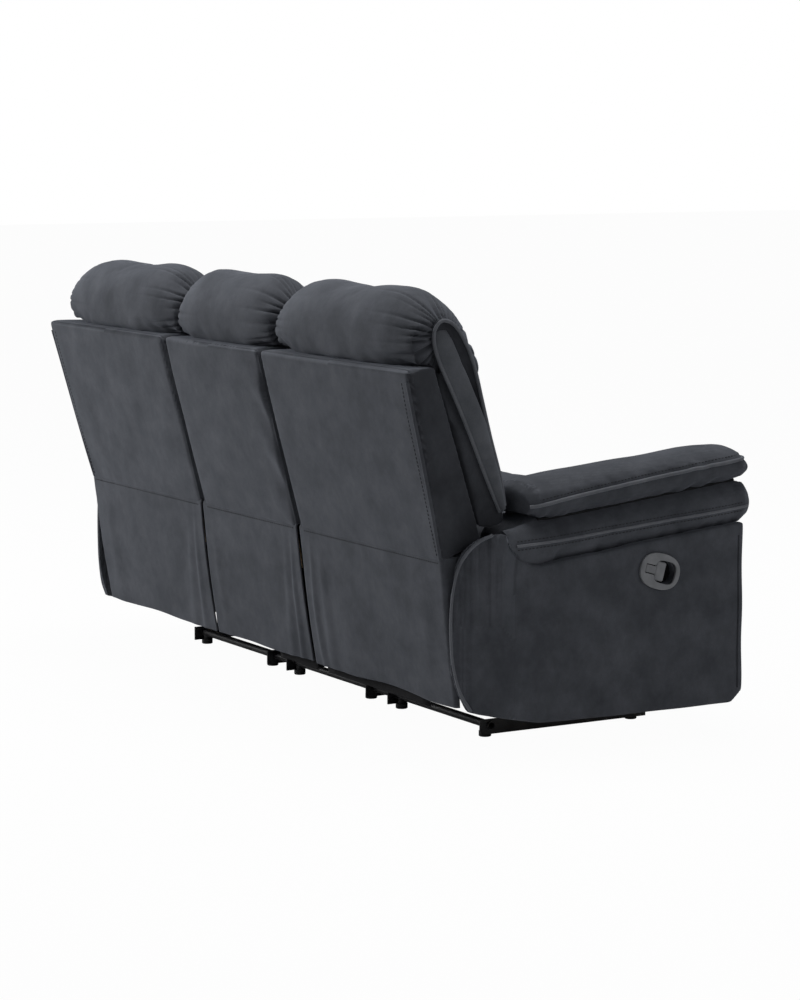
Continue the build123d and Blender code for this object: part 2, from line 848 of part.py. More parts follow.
def make_arm_panel():
    """Upholstered outer side: it turns in behind the seat and has a hump behind the roll."""
    inner = arm_outer_x - panel_thickness
    rear_inner = back_outer_x + arm_rear_clear
    rear_outer = rear_inner + arm_rear_skin
    end_z = roll_z(roll_turn_y) + roll_turn
    radius = roll_turn + soft_gap
    slant = radius * math.sqrt(0.5)
    hump_y = roll_turn_y + math.sqrt(radius**2 - (end_z - hump_z) ** 2)
    rise = hump_z - arm_bottom_z
    with BuildPart() as panel:
        plan = face_of(
            Plane.XY,
            [
                ((inner, arm_front_y),),
                ((arm_outer_x, arm_front_y),),
                ((arm_outer_x, arm_turn_y),),
                (turn_in(arm_outer_x, arm_turn_y, rear_outer, arm_rear_y), (rear_outer, arm_rear_y)),
                ((rear_inner, arm_rear_y),),
                (turn_in(inner, arm_turn_y, rear_inner, arm_rear_y), (inner, arm_turn_y)),
            ],
        )
        extrude(plan, amount=2 * hump_z)
        side = face_of(
            Plane.YZ,
            [
                ((arm_front_y + arm_corner, arm_bottom_z),),
                ((roll_turn_y, arm_bottom_z + rise * 0.01),),
                ((arm_rear_y - 32, arm_bottom_z + rise * 0.09),),
                ((arm_rear_y - 6, arm_bottom_z + rise * 0.26), (arm_rear_y, arm_bottom_z + rise * 0.47)),
                ((arm_rear_y - 2, arm_bottom_z + rise * 0.66), (arm_rear_y - 10, arm_bottom_z + rise * 0.82)),
                ((arm_rear_y - 36, hump_z - rise * 0.05), (hump_y + 14, hump_z)),
                ((hump_y, hump_z),),
                ((roll_turn_y + slant, end_z - slant), (roll_turn_y, end_z - radius)),
                ((arm_front_y, roll_z(arm_front_y) - soft_gap),),
                ((arm_front_y, arm_bottom_z + arm_corner),),
            ],
        )
        extrude(side, amount=2 * arm_outer_x, mode=Mode.INTERSECT)
        with BuildSketch(Plane.YZ.offset(inner)):
            with Locations((handle_y, handle_z)):
                Ellipse(cup_length / 2 + soft_gap, cup_height / 2 + soft_gap, rotation=handle_tilt)
        extrude(amount=panel_thickness, mode=Mode.SUBTRACT)
    return panel.part


cable_start = (arm_outer_x - cup_depth, handle_y + 23.0, handle_z - 7.0)
cable_end = (mech_mid_x + mech_half + rail_thickness / 2, -30.0, 216.0)
cable_lead = 25.0  # straight run at either end
cable_hole = 60.0


def cable_point(share):
    """A point of the cable's sag between its two straight leads."""
    x0, x1 = cable_start[0] - cable_lead, cable_end[0] + cable_lead
    y0, y1 = cable_start[1], cable_end[1]
    z0, z1 = cable_start[2], cable_end[2]
    ease = share * share * (3 - 2 * share)
    return x0 + (x1 - x0) * share, y0 + (y1 - y0) * ease, z0 + (z1 - z0) * ease


cable_points = [cable_start, *(cable_point(share) for share in (0, 0.3, 0.6, 1)), cable_end]


def make_arm_inner():
    """Inner side and front of the arm box, one upholstered panel."""
    outer = arm_outer_x - panel_thickness - soft_gap
    inner = arm_inner_x + inner_thickness
    front_wall = arm_front_y + inner_thickness
    with BuildPart() as panel:
        plan = polygon(
            Plane.XY.offset(arm_bottom_z),
            (arm_inner_x, arm_front_y),
            (outer, arm_front_y),
            (outer, front_wall),
            (inner, front_wall),
            (inner, arm_back_y),
            (arm_inner_x, arm_back_y),
        )
        extrude(plan, amount=roll_z(arm_front_y))
        above = polygon(
            Plane.YZ.offset(arm_inner_x),
            (arm_front_y, roll_z(arm_front_y) - soft_gap),
            (arm_back_y, roll_z(arm_back_y) - soft_gap),
            (arm_back_y, 2 * roll_z(arm_front_y)),
            (arm_front_y, 2 * roll_z(arm_front_y)),
        )
        extrude(above, amount=arm_outer_x - arm_inner_x, mode=Mode.SUBTRACT)
        through = (arm_inner_x, cable_end[1] - 4, cable_end[2] + 12)
        with BuildSketch(Plane(origin=through, z_dir=(1, 0, 0))):
            Rectangle(cable_hole, cable_hole)
        extrude(amount=inner_thickness, mode=Mode.SUBTRACT)
    return panel.part


def make_arm_frame():
    """Timber frame inside the arm: base board, two posts and a top board."""
    x0 = arm_inner_x + inner_thickness
    x1 = arm_outer_x - panel_thickness - soft_gap
    y0 = arm_front_y + inner_thickness
    low = arm_bottom_z + 10
    high = roll_z(arm_back_y) - 8
    with BuildPart() as frame:
        with BuildSketch(Plane.YZ.offset(x0)):
            with BuildLine():
                Polyline((y0, low), (arm_back_y, low), (arm_back_y, high), (y0, high), close=True)
            make_face()
            with BuildLine():
                Polyline(
                    (y0 + arm_board, low + arm_board),
                    (arm_back_y - arm_board, low + arm_board),
                    (arm_back_y - arm_board, high - arm_board),
                    (y0 + arm_board, high - arm_board),
                    close=True,
                )
            make_face(mode=Mode.SUBTRACT)
        extrude(amount=x1 - x0)
    return frame.part


def arm_section(y, bottom, height, x0, x1, bulge, inset, dome):
    """Section across the arm of a stuffed layer with bulging sides and a domed top."""
    low, high = bottom + inset * 0.4, bottom + height - inset
    left, right = x0 + bulge + inset, x1 - bulge - inset
    middle = (low + high) / 2
    outline = [
        ((right, low),),
        ((right + bulge, middle), (right, high)),
        (((left + right) / 2, high + dome), (left, high)),
        ((left - bulge, middle), (left, low)),
    ]
    return face_of(Plane.XZ.offset(-y), outline)


def make_arm_layer(front, rear, bottom_z, height, x0, x1, bulge, dome):
    """A stuffed layer lofted along the arm, drawn in at the front and the rear."""
    ends = (
        (front, 18.0),
        (front + 24, 4.0),
        (front + 70, 0.0),
        (rear - 60, 0.0),
        (rear - 20, 4.0),
        (rear, 18.0),
    )
    with BuildPart() as layer:
        loft(
            sections=[
                arm_section(y, bottom_z - arm_slope * y, height, x0, x1, bulge, inset, dome)
                for y, inset in ends
            ],
            ruled=True,
        )
    return layer.part


def make_roll_tail():
    """The roll's outer side, carried on past the back."""
    x0, x1 = back_outer_x + tail_clear, arm_outer_x + roll_bulge - soft_gap
    stations = []
    for y in (roll_turn_y - 0.4 * roll_turn, roll_turn_y + 0.96 * roll_turn):
        stations.append(arm_section(y, roll_z(y), roll_height - soft_gap, x0, x1, 20.0, 0.0, soft_gap))
    with BuildPart() as tail:
        loft(sections=stations, ruled=True)
    return tail.part


def make_arm_roll():
    """Lower roll of the arm, across the top of the box, rounded underneath at its rear end."""
    x0, x1 = arm_inner_x + 2, arm_outer_x + roll_bulge
    end_y = roll_turn_y + roll_turn
    end_z = roll_z(roll_turn_y) + roll_turn
    slant = roll_turn * math.sqrt(0.5)
    with BuildPart() as roll:
        add(make_arm_layer(roll_front_y, roll_rear_y, roll_bottom_z, roll_height, x0, x1, 26.0, 0.01))
        add(make_roll_tail())
        under = face_of(
            Plane.YZ,
            [
                ((roll_turn_y, end_z - roll_turn),),
                ((roll_turn_y + slant, end_z - slant), (end_y, end_z)),
                ((end_y, arm_bottom_z),),
                ((roll_turn_y, arm_bottom_z),),
            ],
        )
        extrude(under, amount=2 * arm_outer_x, mode=Mode.SUBTRACT)
    return roll.part


def make_arm_pad():
    """Pillow top of the arm."""
    bottom = roll_bottom_z + roll_height + 2 * soft_gap
    side, dome = pad_height * 0.72, pad_height * 0.28
    return make_arm_layer(pad_front_y, pad_rear_y, bottom, side, arm_inner_x + 2, arm_outer_x + 3, 16.0, dome)


# Release handle of the left arm

handle_plane = Plane(
    origin=(arm_outer_x, handle_y, handle_z),
    x_dir=(0, math.cos(math.radians(handle_tilt)), math.sin(math.radians(handle_tilt))),
    z_dir=(1, 0, 0),
)


def make_handle_cup():
    """Oval flange with a recessed cup, and lugs for the paddle's pin."""
    lug_width, lug_gap, lug_reach = 4.0, 17.0, 5.0
    with BuildPart() as cup:
        with BuildSketch(handle_plane.offset(soft_gap)):
            Ellipse(flange_length / 2, flange_height / 2)
        extrude(amount=flange_thickness)
        fillet(cup.faces().sort_by(Axis.X)[-1].edges(), flange_thickness * 0.4)
        with BuildSketch(handle_plane.offset(-cup_depth)):
            Ellipse(cup_length / 2, cup_height / 2)
        extrude(amount=cup_depth + soft_gap)
        with BuildSketch(handle_plane.offset(cup_wall - cup_depth)):
            Ellipse(cup_length / 2 - cup_wall, cup_height / 2 - cup_wall)
        extrude(amount=cup_depth + flange_thickness, mode=Mode.SUBTRACT)
        with BuildSketch(handle_plane.offset(cup_wall - cup_depth)):
            with Locations((paddle_pivot, lug_gap / 2), (paddle_pivot, -lug_gap / 2)):
                Rectangle(2 * lug_reach, lug_width)
        extrude(amount=cup_depth - cup_wall)
        pin_middle = handle_plane.from_local_coords((paddle_pivot, 0, -lug_reach))
        across = Plane(origin=pin_middle, z_dir=handle_plane.y_dir)
        with BuildSketch(across):
            Circle(paddle_pin_radius + pin_gap)
        extrude(amount=lug_gap / 2 + lug_width / 2, both=True, mode=Mode.SUBTRACT)
    return cup.part


def make_paddle():
    """T-shaped paddle with its hinge pin."""
    stem_width, head_length, head_height = 11.0, 17.0, 38.0
    pin_length, pin_depth = 20.0, 5.0
    back = -pin_depth - paddle_thickness / 2
    with BuildPart() as paddle:
        with BuildSketch(handle_plane.offset(back)):
            with BuildLine():
                Polyline(
                    (paddle_pivot + 4, stem_width / 2),
                    (head_length / 2, stem_width / 2),
                    (head_length / 2, head_height / 2),
                    (-head_length / 2, head_height / 2),
                    (-head_length / 2, -head_height / 2),
                    (head_length / 2, -head_height / 2),
                    (head_length / 2, -stem_width / 2),
                    (paddle_pivot + 4, -stem_width / 2),
                    close=True,
                )
            make_face()
        extrude(amount=paddle_thickness)
        fillet(paddle.edges().filter_by(Axis.X).group_by(Axis.Y)[0], 4)
        pin_middle = handle_plane.from_local_coords((paddle_pivot, 0, -pin_depth))
        across = Plane(origin=pin_middle, z_dir=handle_plane.y_dir)
        with BuildSketch(across):
            Circle(paddle_pin_radius)
        extrude(amount=pin_length / 2, both=True)
    return paddle.part


def make_cable():
    """Release cable from the cup to the stand plate."""
    with BuildPart() as cable:
        with BuildLine() as route:
            FilletPolyline(*cable_points, radius=cable_lead * 0.8)
        with BuildSketch(Plane(origin=route.line @ 0, z_dir=route.line % 0)):
            Circle(cable_radius)
        sweep(path=route.line)
    return cable.part


# Build and keep every piece

to_middle = Pos(-seat_mid_x, 0, 0)

keep(make_tubes(), "cross_tubes")
keep(make_feet(), "glide_feet")
keep(make_rails(), "side_rails")
keep(make_middle_stands(), "middle_stands")
keep(make_dust_cover(), "dust_cover")

keep_pair(make_stands(), "recliner_stands")
keep_pair(make_carriage(), "seat_carriage")
keep_pair(make_rear_links(), "rear_links")
keep_pair(make_front_links(), "front_links")
keep_pair(make_footrest_brackets(), "footrest_brackets")
front_pad = make_front_pad(seat_mid_x)
keep_pair(front_pad, "footrest_pad")
keep(to_middle * front_pad, "middle_front_panel")

for make_piece, piece_name in (
    (make_seat_frame, "seat_frame"),
    (make_seat_springs, "seat_springs"),
    (make_seat_cushion, "seat_cushion"),
):
    seat_piece = make_piece(seat_mid_x)
    keep_pair(seat_piece, piece_name)
    keep(to_middle * seat_piece, "middle_" + piece_name)

back_x0 = seat_split_x + back_gap / 2
head_x0 = seat_split_x + head_gap / 2
middle_x = seat_split_x - back_gap / 2
outer_ear = carriage_inner + carriage_thickness
keep_pair(make_back_frame(back_x0, back_outer_x, mech_mid_x, outer_ear), "back_frame")
keep_pair(make_back_shell(back_x0, back_outer_x, shell_flare), "back_shell")
lumbar_x0 = back_x0 + wing_inner_width + soft_gap
keep_pair(make_bolster(lumbar_x0, arm_inner_x - soft_gap, lumbar_depth), "lumbar_cushion")
keep_pair(make_wings(back_x0, back_outer_x), "back_wings")
keep_pair(make_headrest(head_x0, head_outer_x), "headrest")
keep_pair(make_flap(back_x0 + 4, back_outer_x - 8, 6, flap_taper), "back_flap")
keep(make_back_frame(-middle_x, middle_x, 0, middle_stand_x + rail_thickness / 2), "middle_back_frame")
keep(make_back_shell(-middle_x, middle_x, 0), "middle_back_shell")
keep(make_bolster(-middle_x, middle_x, lumbar_depth), "middle_lumbar_cushion")
keep(make_headrest(head_gap / 2 - seat_split_x, seat_split_x - head_gap / 2), "middle_headrest")
keep(make_flap(4 - middle_x, middle_x - 4, 6, 6), "middle_back_flap")

keep_pair(make_arm_frame(), "arm_frame")
keep_pair(make_arm_panel(), "arm_side_panel")
keep_pair(make_arm_inner(), "arm_inner_panel")
keep_pair(make_arm_roll(), "arm_roll")
keep_pair(make_arm_pad(), "arm_pad")
keep_pair(make_handle_cup(), "handle_cup")
keep_pair(make_paddle(), "handle_paddle")
keep_pair(make_cable(), "release_cable")
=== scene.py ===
# %% [markdown]
# # A reclining sofa, dressed around its CAD frame
# The CAD model holds the mechanism, the timber and plain soft solids. This lesson dresses it:
# every cushion, panel and flap gets cloth, seams and piping, and every bare part gets its finish.

import json
import math

import bpy
import numpy as np
from mathutils import Matrix, Vector
from mathutils.bvhtree import BVHTree


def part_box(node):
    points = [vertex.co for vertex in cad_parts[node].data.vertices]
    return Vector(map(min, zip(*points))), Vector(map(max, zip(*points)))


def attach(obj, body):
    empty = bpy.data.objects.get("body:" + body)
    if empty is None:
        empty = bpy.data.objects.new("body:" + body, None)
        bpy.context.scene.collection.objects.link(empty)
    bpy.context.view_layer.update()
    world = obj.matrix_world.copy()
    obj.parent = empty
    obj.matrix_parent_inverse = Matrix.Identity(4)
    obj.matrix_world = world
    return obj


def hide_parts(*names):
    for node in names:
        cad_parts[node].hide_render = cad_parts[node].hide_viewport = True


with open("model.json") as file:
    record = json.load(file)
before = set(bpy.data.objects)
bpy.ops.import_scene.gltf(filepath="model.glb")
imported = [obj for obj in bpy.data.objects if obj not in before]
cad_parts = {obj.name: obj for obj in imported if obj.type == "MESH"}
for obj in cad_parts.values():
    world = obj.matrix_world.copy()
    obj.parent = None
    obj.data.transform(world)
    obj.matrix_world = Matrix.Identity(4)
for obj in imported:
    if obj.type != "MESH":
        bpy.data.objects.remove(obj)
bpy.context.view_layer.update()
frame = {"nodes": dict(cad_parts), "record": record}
scene = bpy.context.scene

# %% [markdown]
# ## Camera, floor and light
# The sofa stands with its back to the camera, turned about thirty degrees, seen through a long lens.
# A long lens far away keeps the straight edges nearly parallel, so the camera is placed by measure.

# %% Camera
camera_data = bpy.data.cameras.new("long_lens")
camera_data.sensor_fit = "VERTICAL"
camera_data.sensor_height = 36.0
camera_data.lens = 107.57
camera = bpy.data.objects.new("camera", camera_data)
camera.location = (-6.196, 3.566, 1.352)
yaw, pitch = math.radians(30.28), math.radians(7.25)
sight = Vector((math.cos(yaw) * math.cos(pitch), -math.sin(yaw) * math.cos(pitch), -math.sin(pitch)))
camera.rotation_euler = sight.to_track_quat("-Z", "Y").to_euler()
scene.collection.objects.link(camera)
scene.camera = camera
print("camera at", tuple(round(v, 2) for v in camera.location))

# %% [markdown]
# The floor is pale and shows white to the camera, and still takes the sofa's soft shadow.
# Three broad lamps and a pale world light the sofa at a level where a colour looks as it is written.

# %% Floor and light


def node_tree(owner):
    """An emptied node tree, with its nodes and links at hand."""
    owner.use_nodes = True
    owner.node_tree.nodes.clear()
    return owner.node_tree.nodes, owner.node_tree.links


def new_node(nodes, kind, **values):
    """A shader node with some of its inputs set."""
    node = nodes.new("ShaderNode" + kind)
    for socket, value in values.items():
        node.inputs[socket.replace("_", " ")].default_value = value
    return node


def mix_shaders(nodes, links, share, first, second, out):
    """Two shaders mixed by a share, on an output."""
    mix = nodes.new("ShaderNodeMixShader")
    links.new(share.outputs[0], mix.inputs["Fac"])
    links.new(first.outputs[0], mix.inputs[1])
    links.new(second.outputs[0], mix.inputs[2])
    links.new(mix.outputs[0], out.inputs["Surface"])


def only(piece):
    """One piece selected and active."""
    bpy.ops.object.select_all(action="DESELECT")
    piece.select_set(True)
    bpy.context.view_layer.objects.active = piece


bpy.ops.mesh.primitive_plane_add(size=60, location=(0, 0, -0.0005))
floor = bpy.context.object
floor.name = "studio_floor"
pale = bpy.data.materials.new("pale_floor")
nodes, links = node_tree(pale)
floor_out = nodes.new("ShaderNodeOutputMaterial")
floor_cloth = new_node(nodes, "BsdfDiffuse", Color=(0.82, 0.82, 0.82, 1))
floor_white = nodes.new("ShaderNodeEmission")
floor_share = nodes.new("ShaderNodeMath")
floor_share.operation = "MULTIPLY"
floor_share.inputs[1].default_value = 0.97
links.new(nodes.new("ShaderNodeLightPath").outputs["Is Camera Ray"], floor_share.inputs[0])
mix_shaders(nodes, links, floor_share, floor_cloth, floor_white, floor_out)
floor.data.materials.append(pale)

world = bpy.data.worlds.new("studio")
scene.world = world
nodes, links = node_tree(world)
world_out = nodes.new("ShaderNodeOutputWorld")
glow = new_node(nodes, "Background", Color=(0.95, 0.97, 1.0, 1), Strength=0.21)
white = new_node(nodes, "Background", Color=(1, 1, 1, 1))
world_path = nodes.new("ShaderNodeLightPath")
seen = nodes.new("ShaderNodeMath")
seen.operation = "MAXIMUM"
links.new(world_path.outputs["Is Camera Ray"], seen.inputs[0])
links.new(world_path.outputs["Is Transmission Ray"], seen.inputs[1])
mix_shaders(nodes, links, seen, glow, white, world_out)


def lamp(name, place, aim, size, watts):
    """A broad square lamp that looks at a point."""
    data = bpy.data.lights.new(name, "AREA")
    data.size = size
    data.energy = watts
    holder = bpy.data.objects.new(name, data)
    holder.location = place
    holder.rotation_euler = (Vector(aim) - Vector(place)).to_track_quat("-Z", "Y").to_euler()
    scene.collection.objects.link(holder)


lamp("key_lamp", (4.0, 3.7, 2.2), (0.1, 0.3, 0.6), 2.0, 150)
lamp("top_lamp", (0.0, -0.2, 4.0), (-0.3, 0, 0.5), 2.4, 92)
lamp("side_lamp", (-5.0, -3.0, 2.4), (-0.9, -0.2, 0.5), 2.0, 29)
scene.view_settings.view_transform = "Standard"
print("three lamps, a pale floor and a pale world")

# %% [markdown]
# ## Finishes
# The cover is a dark brushed suede: short nap that lies this way and that, so soft patches are a little
# lighter or darker, with a very fine grain. Sheen gives the pale rim that nap has at grazing light.

# %% Materials


class Finish:
    """A material with one Principled shader, and short ways to put textures on it."""

    def __init__(self, name, rough, **sockets):
        """Constants go on the shader's own sockets; textures use Object coordinates."""
        self.material = bpy.data.materials.new(name)
        self.nodes, self.links = node_tree(self.material)
        out = self.nodes.new("ShaderNodeOutputMaterial")
        self.shader = new_node(self.nodes, "BsdfPrincipled", Roughness=rough, **sockets)
        self.links.new(self.shader.outputs[0], out.inputs["Surface"])
        self.where = self.nodes.new("ShaderNodeTexCoord").outputs["Object"]

    def texture(self, kind, where, **values):
        """A texture or mapping node on some coordinates."""
        node = new_node(self.nodes, kind, **values)
        self.links.new(where, node.inputs["Vector"])
        return node

    def noise(self, scale, detail=3.0, rough=0.55, stretch=None):
        """A noise texture, stretched where the pattern has a direction."""
        where = self.where
        if stretch:
            where = self.texture("Mapping", where, Scale=stretch).outputs[0]
        noise = self.texture("TexNoise", where, Scale=scale, Detail=detail, Roughness=rough)
        return noise.outputs["Fac"]

    def cells(self, scale):
        """Distances in a fine cell pattern."""
        return self.texture("TexVoronoi", self.where, Scale=scale).outputs["Distance"]

    def ramp(self, fac, *stops):
        """A colour ramp from (position, colour) stops; a single number is a grey."""
        node = new_node(self.nodes, "ValToRGB")
        for element, (position, colour) in zip(node.color_ramp.elements, stops):
            element.position = position
            element.color = (*((colour,) * 3 if isinstance(colour, float) else colour), 1)
        self.links.new(fac, node.inputs["Fac"])
        return node.outputs["Color"]

    def bump(self, height, strength, distance, under=None):
        """A bump on the shader, on top of another one if given."""
        node = new_node(self.nodes, "Bump", Strength=strength, Distance=distance)
        self.links.new(height, node.inputs["Height"])
        if under:
            self.links.new(under, node.inputs["Normal"])
        self.put("Normal", node.outputs[0])
        return node.outputs[0]

    def times(self, a, b):
        """Two colours multiplied."""
        node = self.nodes.new("ShaderNodeMix")
        node.data_type = "RGBA"
        node.blend_type = "MULTIPLY"
        node.inputs["Factor"].default_value = 1.0
        self.links.new(a, node.inputs[6])
        self.links.new(b, node.inputs[7])
        return node.outputs[2]

    def put(self, socket, value):
        """A texture on one of the shader's sockets."""
        self.links.new(value, self.shader.inputs[socket])


def make_suede(name, dark, pale):
    """Brushed suede: patches of nap, faint brush strokes and a fine grain."""
    sheen = {"Sheen_Weight": 0.18, "Sheen_Roughness": 0.45, "Sheen_Tint": (0.62, 0.68, 0.80, 1)}
    cloth = Finish(name, 0.88, Specular_IOR_Level=0.25, **sheen)
    patches = cloth.noise(11.0, detail=6.0, rough=0.62)
    strokes = cloth.noise(55.0, detail=5.0, rough=0.65, stretch=(1.0, 1.0, 0.7))
    grain = cloth.noise(620.0, detail=2.0)
    ground = cloth.ramp(patches, (0.36, dark), (0.66, pale))
    toned = cloth.times(ground, cloth.ramp(strokes, (0.30, 0.86), (0.70, 1.0)))
    cloth.put("Base Color", cloth.times(toned, cloth.ramp(grain, (0.25, 0.84), (0.75, 1.0))))
    cloth.bump(grain, 0.25, 0.0006, cloth.bump(strokes, 0.12, 0.002))
    return cloth.material


suede = make_suede("dark_suede", (0.054, 0.058, 0.068), (0.086, 0.091, 0.105))
# Painted shade and light: a darker suede copy for sides and recesses, a lighter one for gusset panels.
painted_shade_suede = make_suede("suede_painted_shade", (0.030, 0.032, 0.038), (0.052, 0.055, 0.064))
painted_light_suede = make_suede("suede_painted_light", (0.090, 0.096, 0.108), (0.125, 0.132, 0.148))
# The welt for the piping is a lighter copy of the suede: a painted highlight along the seams.
welt_painted_highlight = make_suede("welt_painted_highlight", (0.120, 0.126, 0.142), (0.165, 0.172, 0.190))

# Twisted sewing thread, darker than the cover.
yarn = Finish("seam_thread", 0.7, Specular_IOR_Level=0.3)
twist = yarn.noise(900.0, stretch=(1.0, 1.0, 3.0))
yarn.put("Base Color", yarn.ramp(twist, (0.3, (0.012, 0.013, 0.015)), (0.7, (0.03, 0.032, 0.036))))
thread = yarn.material

# Thin black non-woven cloth with a dotted bond, also used as painted shade in arm tucks and lever bowls.
felt = Finish("black_lining", 0.92, Specular_IOR_Level=0.2)
dots = felt.cells(480.0)
felt.put("Base Color", felt.ramp(dots, (0.1, (0.022, 0.022, 0.024)), (0.6, (0.010, 0.010, 0.011))))
felt.bump(dots, 0.4, 0.0005)
lining = felt.material

# Black powder paint on steel: faint orange peel, and rubbed patches that shine more.
paint = Finish("black_paint", 0.42, Specular_IOR_Level=0.5)
rubbed = paint.noise(18.0, detail=5.0)
paint.put("Base Color", paint.ramp(rubbed, (0.40, (0.014, 0.014, 0.016)), (0.75, (0.040, 0.041, 0.044))))
paint.put("Roughness", paint.ramp(rubbed, (0.35, 0.48), (0.75, 0.32)))
paint.bump(paint.noise(700.0, detail=2.0), 0.12, 0.0004)
black_paint = paint.material

# Drawn spring wire, oiled and slightly blued.
wire = Finish("spring_wire", 0.35, Metallic=1.0)
oil = wire.noise(60.0, detail=4.0)
wire.put("Base Color", wire.ramp(oil, (0.3, (0.20, 0.20, 0.22)), (0.7, (0.40, 0.40, 0.42))))
spring_wire = wire.material

# Sawn softwood: long grain with darker rings and a rough saw face.
wood = Finish("sawn_pine", 0.75, Specular_IOR_Level=0.3)
wander = wood.noise(14.0, detail=4.0, stretch=(0.25, 1.0, 3.0))
rings = wood.texture("TexWave", wood.where, Scale=9.0, Distortion=7.0, Detail=3.0)
rings.bands_direction = "Z"
grain = wood.ramp(rings.outputs["Fac"], (0.2, (0.40, 0.27, 0.15)), (0.8, (0.62, 0.47, 0.30)))
wood.put("Base Color", wood.times(grain, wood.ramp(wander, (0.3, (0.85, 0.82, 0.80)), (0.7, 1.0))))
wood.bump(wander, 0.3, 0.001)
sawn_pine = wood.material


def make_plastic(name, dark, pale, rough):
    """Moulded plastic with a fine spark-eroded grain."""
    plastic = Finish(name, rough, Specular_IOR_Level=0.45)
    plastic.put("Base Color", plastic.ramp(plastic.noise(35.0, detail=4.0), (0.35, dark), (0.7, pale)))
    plastic.bump(plastic.cells(1400.0), 0.25, 0.0003)
    return plastic.material


lever_grey = make_plastic("lever_grey", (0.15, 0.155, 0.165), (0.20, 0.205, 0.215), 0.48)
foot_black = make_plastic("foot_black", (0.012, 0.012, 0.013), (0.024, 0.024, 0.026), 0.55)
print("eleven finishes")

# %% [markdown]
# ## How a cushion is made
# A cushion is cloth stretched over foam and fibre. Each one starts as a copy of its plain CAD solid, is
# meshed evenly by a voxel remesh, and is then blown up a little by a cloth simulation with pressure
# inside, which pulls the sides in between the corners as stuffing does. The move of each point is capped,
# and what rests on something is pressed flat again.

# %% Soft helpers


def values_of(items, what):
    """One three-number property of all vertices or faces, as an array."""
    flat = np.empty(len(items) * 3, np.float32)
    items.foreach_get(what, flat)
    return flat.reshape(-1, 3)


def points_of(piece):
    """All vertex places as an array."""
    return values_of(piece.data.vertices, "co").astype(float)


def put_points(piece, points):
    """Vertex places from an array."""
    piece.data.vertices.foreach_set("co", np.asarray(points, np.float32).ravel())
    piece.data.update()


def normals_of(piece):
    """All vertex normals as an array."""
    return values_of(piece.data.vertices, "normal").astype(float)


def rise(value, start, width):
    """0 up to the start, then growing to 1 over the width."""
    return np.clip((value - start) / width, 0, 1)


def new_grid(name, across, along):
    """A flat grid piece, with its points' shares across and along."""
    bpy.ops.mesh.primitive_grid_add(x_subdivisions=across, y_subdivisions=along, size=1.0)
    piece = bpy.context.object
    piece.name = name
    return piece, points_of(piece) + (0.5, 0.5, 0)


def applied(piece, kind, **settings):
    """A modifier, set and applied at once."""
    only(piece)
    modifier = piece.modifiers.new("step", kind)
    for setting, value in settings.items():
        setattr(modifier, setting, value)
    bpy.ops.object.modifier_apply(modifier=modifier.name)


def stuffing(name, node, voxel):
    """A merged and evenly meshed copy of a soft CAD solid."""
    piece = bpy.data.objects.new(name, frame["nodes"][node].data.copy())
    scene.collection.objects.link(piece)
    piece.data.materials.clear()
    only(piece)
    bpy.ops.object.mode_set(mode="EDIT")
    bpy.ops.mesh.select_all(action="SELECT")
    bpy.ops.mesh.remove_doubles(threshold=1e-5)
    bpy.ops.object.mode_set(mode="OBJECT")
    piece.data.remesh_voxel_size = voxel
    bpy.ops.object.voxel_remesh()
    return piece


def soften(piece, rounds):
    """Smooths a mesh, which rounds its edges."""
    applied(piece, "SMOOTH", factor=0.5, iterations=rounds)


def swell(piece, amount):
    """Moves the whole skin out, or in where the amount is negative."""
    put_points(piece, points_of(piece) + normals_of(piece) * amount)


def puff(piece, cap, pressure=4.0, frames=14):
    """Blows a piece up as cloth under pressure, and caps how far a point may go."""
    only(piece)
    before = points_of(piece)
    cloth = piece.modifiers.new("filling", "CLOTH")
    cloth.settings.use_pressure = True
    cloth.settings.uniform_pressure_force = pressure
    cloth.settings.effector_weights.gravity = 0.0
    cloth.settings.quality = 4
    cloth.collision_settings.use_collision = False
    cloth.point_cache.frame_start = 1
    cloth.point_cache.frame_end = frames
    for number in range(1, frames + 1):
        scene.frame_set(number)
    bpy.ops.object.modifier_apply(modifier=cloth.name)
    scene.frame_set(1)
    move = points_of(piece) - before
    far = np.linalg.norm(move, axis=1, keepdims=True)
    put_points(piece, before + move * np.minimum(1.0, cap / np.maximum(far, 1e-9)))


def ripples(points, pitch, seed, stretch=(1, 1, 1)):
    """Soft unevenness between about -1 and 1: a few waves in seeded directions."""
    rng = np.random.default_rng(seed)
    place = points * np.asarray(stretch)
    total = np.zeros(len(points))
    for _ in range(7):
        way = rng.normal(size=3)
        way /= np.linalg.norm(way)
        rate = 2 * math.pi / pitch * rng.uniform(0.65, 1.5)
        total += np.sin(place @ way * rate + rng.uniform(0, 2 * math.pi))
    return total / 4.0


def roughen(piece, place, depth, pitch, seed, stretch=(1, 1, 1)):
    """Places moved along a piece's normals by soft unevenness."""
    return place + normals_of(piece) * (depth * ripples(place, pitch, seed, stretch))[:, None]


def bell(distance, width):
    """1 at zero distance, falling to nothing beyond the width."""
    return np.exp(-((distance / width) ** 2))


def finish_piece(piece, material):
    """Smooth shading and a finish."""
    only(piece)
    bpy.ops.object.shade_smooth()
    piece.data.materials.clear()
    piece.data.materials.append(material)


def finish_pad(piece, body, node):
    """The cover's finish on a padded piece that stands for a CAD node."""
    finish_piece(piece, suede)
    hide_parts(node)
    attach(piece, body)
    print(piece.name, len(piece.data.polygons), "faces")


def painted_shade_faces(piece, material, faces):
    """A second finish on some faces of a panel: a darker copy of the suede as painted shade."""
    piece.data.materials.append(material)
    marks = np.empty(len(piece.data.polygons), np.int32)
    piece.data.polygons.foreach_get("material_index", marks)
    marks[faces] = len(piece.data.materials) - 1
    piece.data.polygons.foreach_set("material_index", marks)


def faces_of(piece):
    """Centres and normals of all faces."""
    return values_of(piece.data.polygons, "center"), values_of(piece.data.polygons, "normal")


mirror = Matrix.Scale(-1, 4, (1, 0, 0))


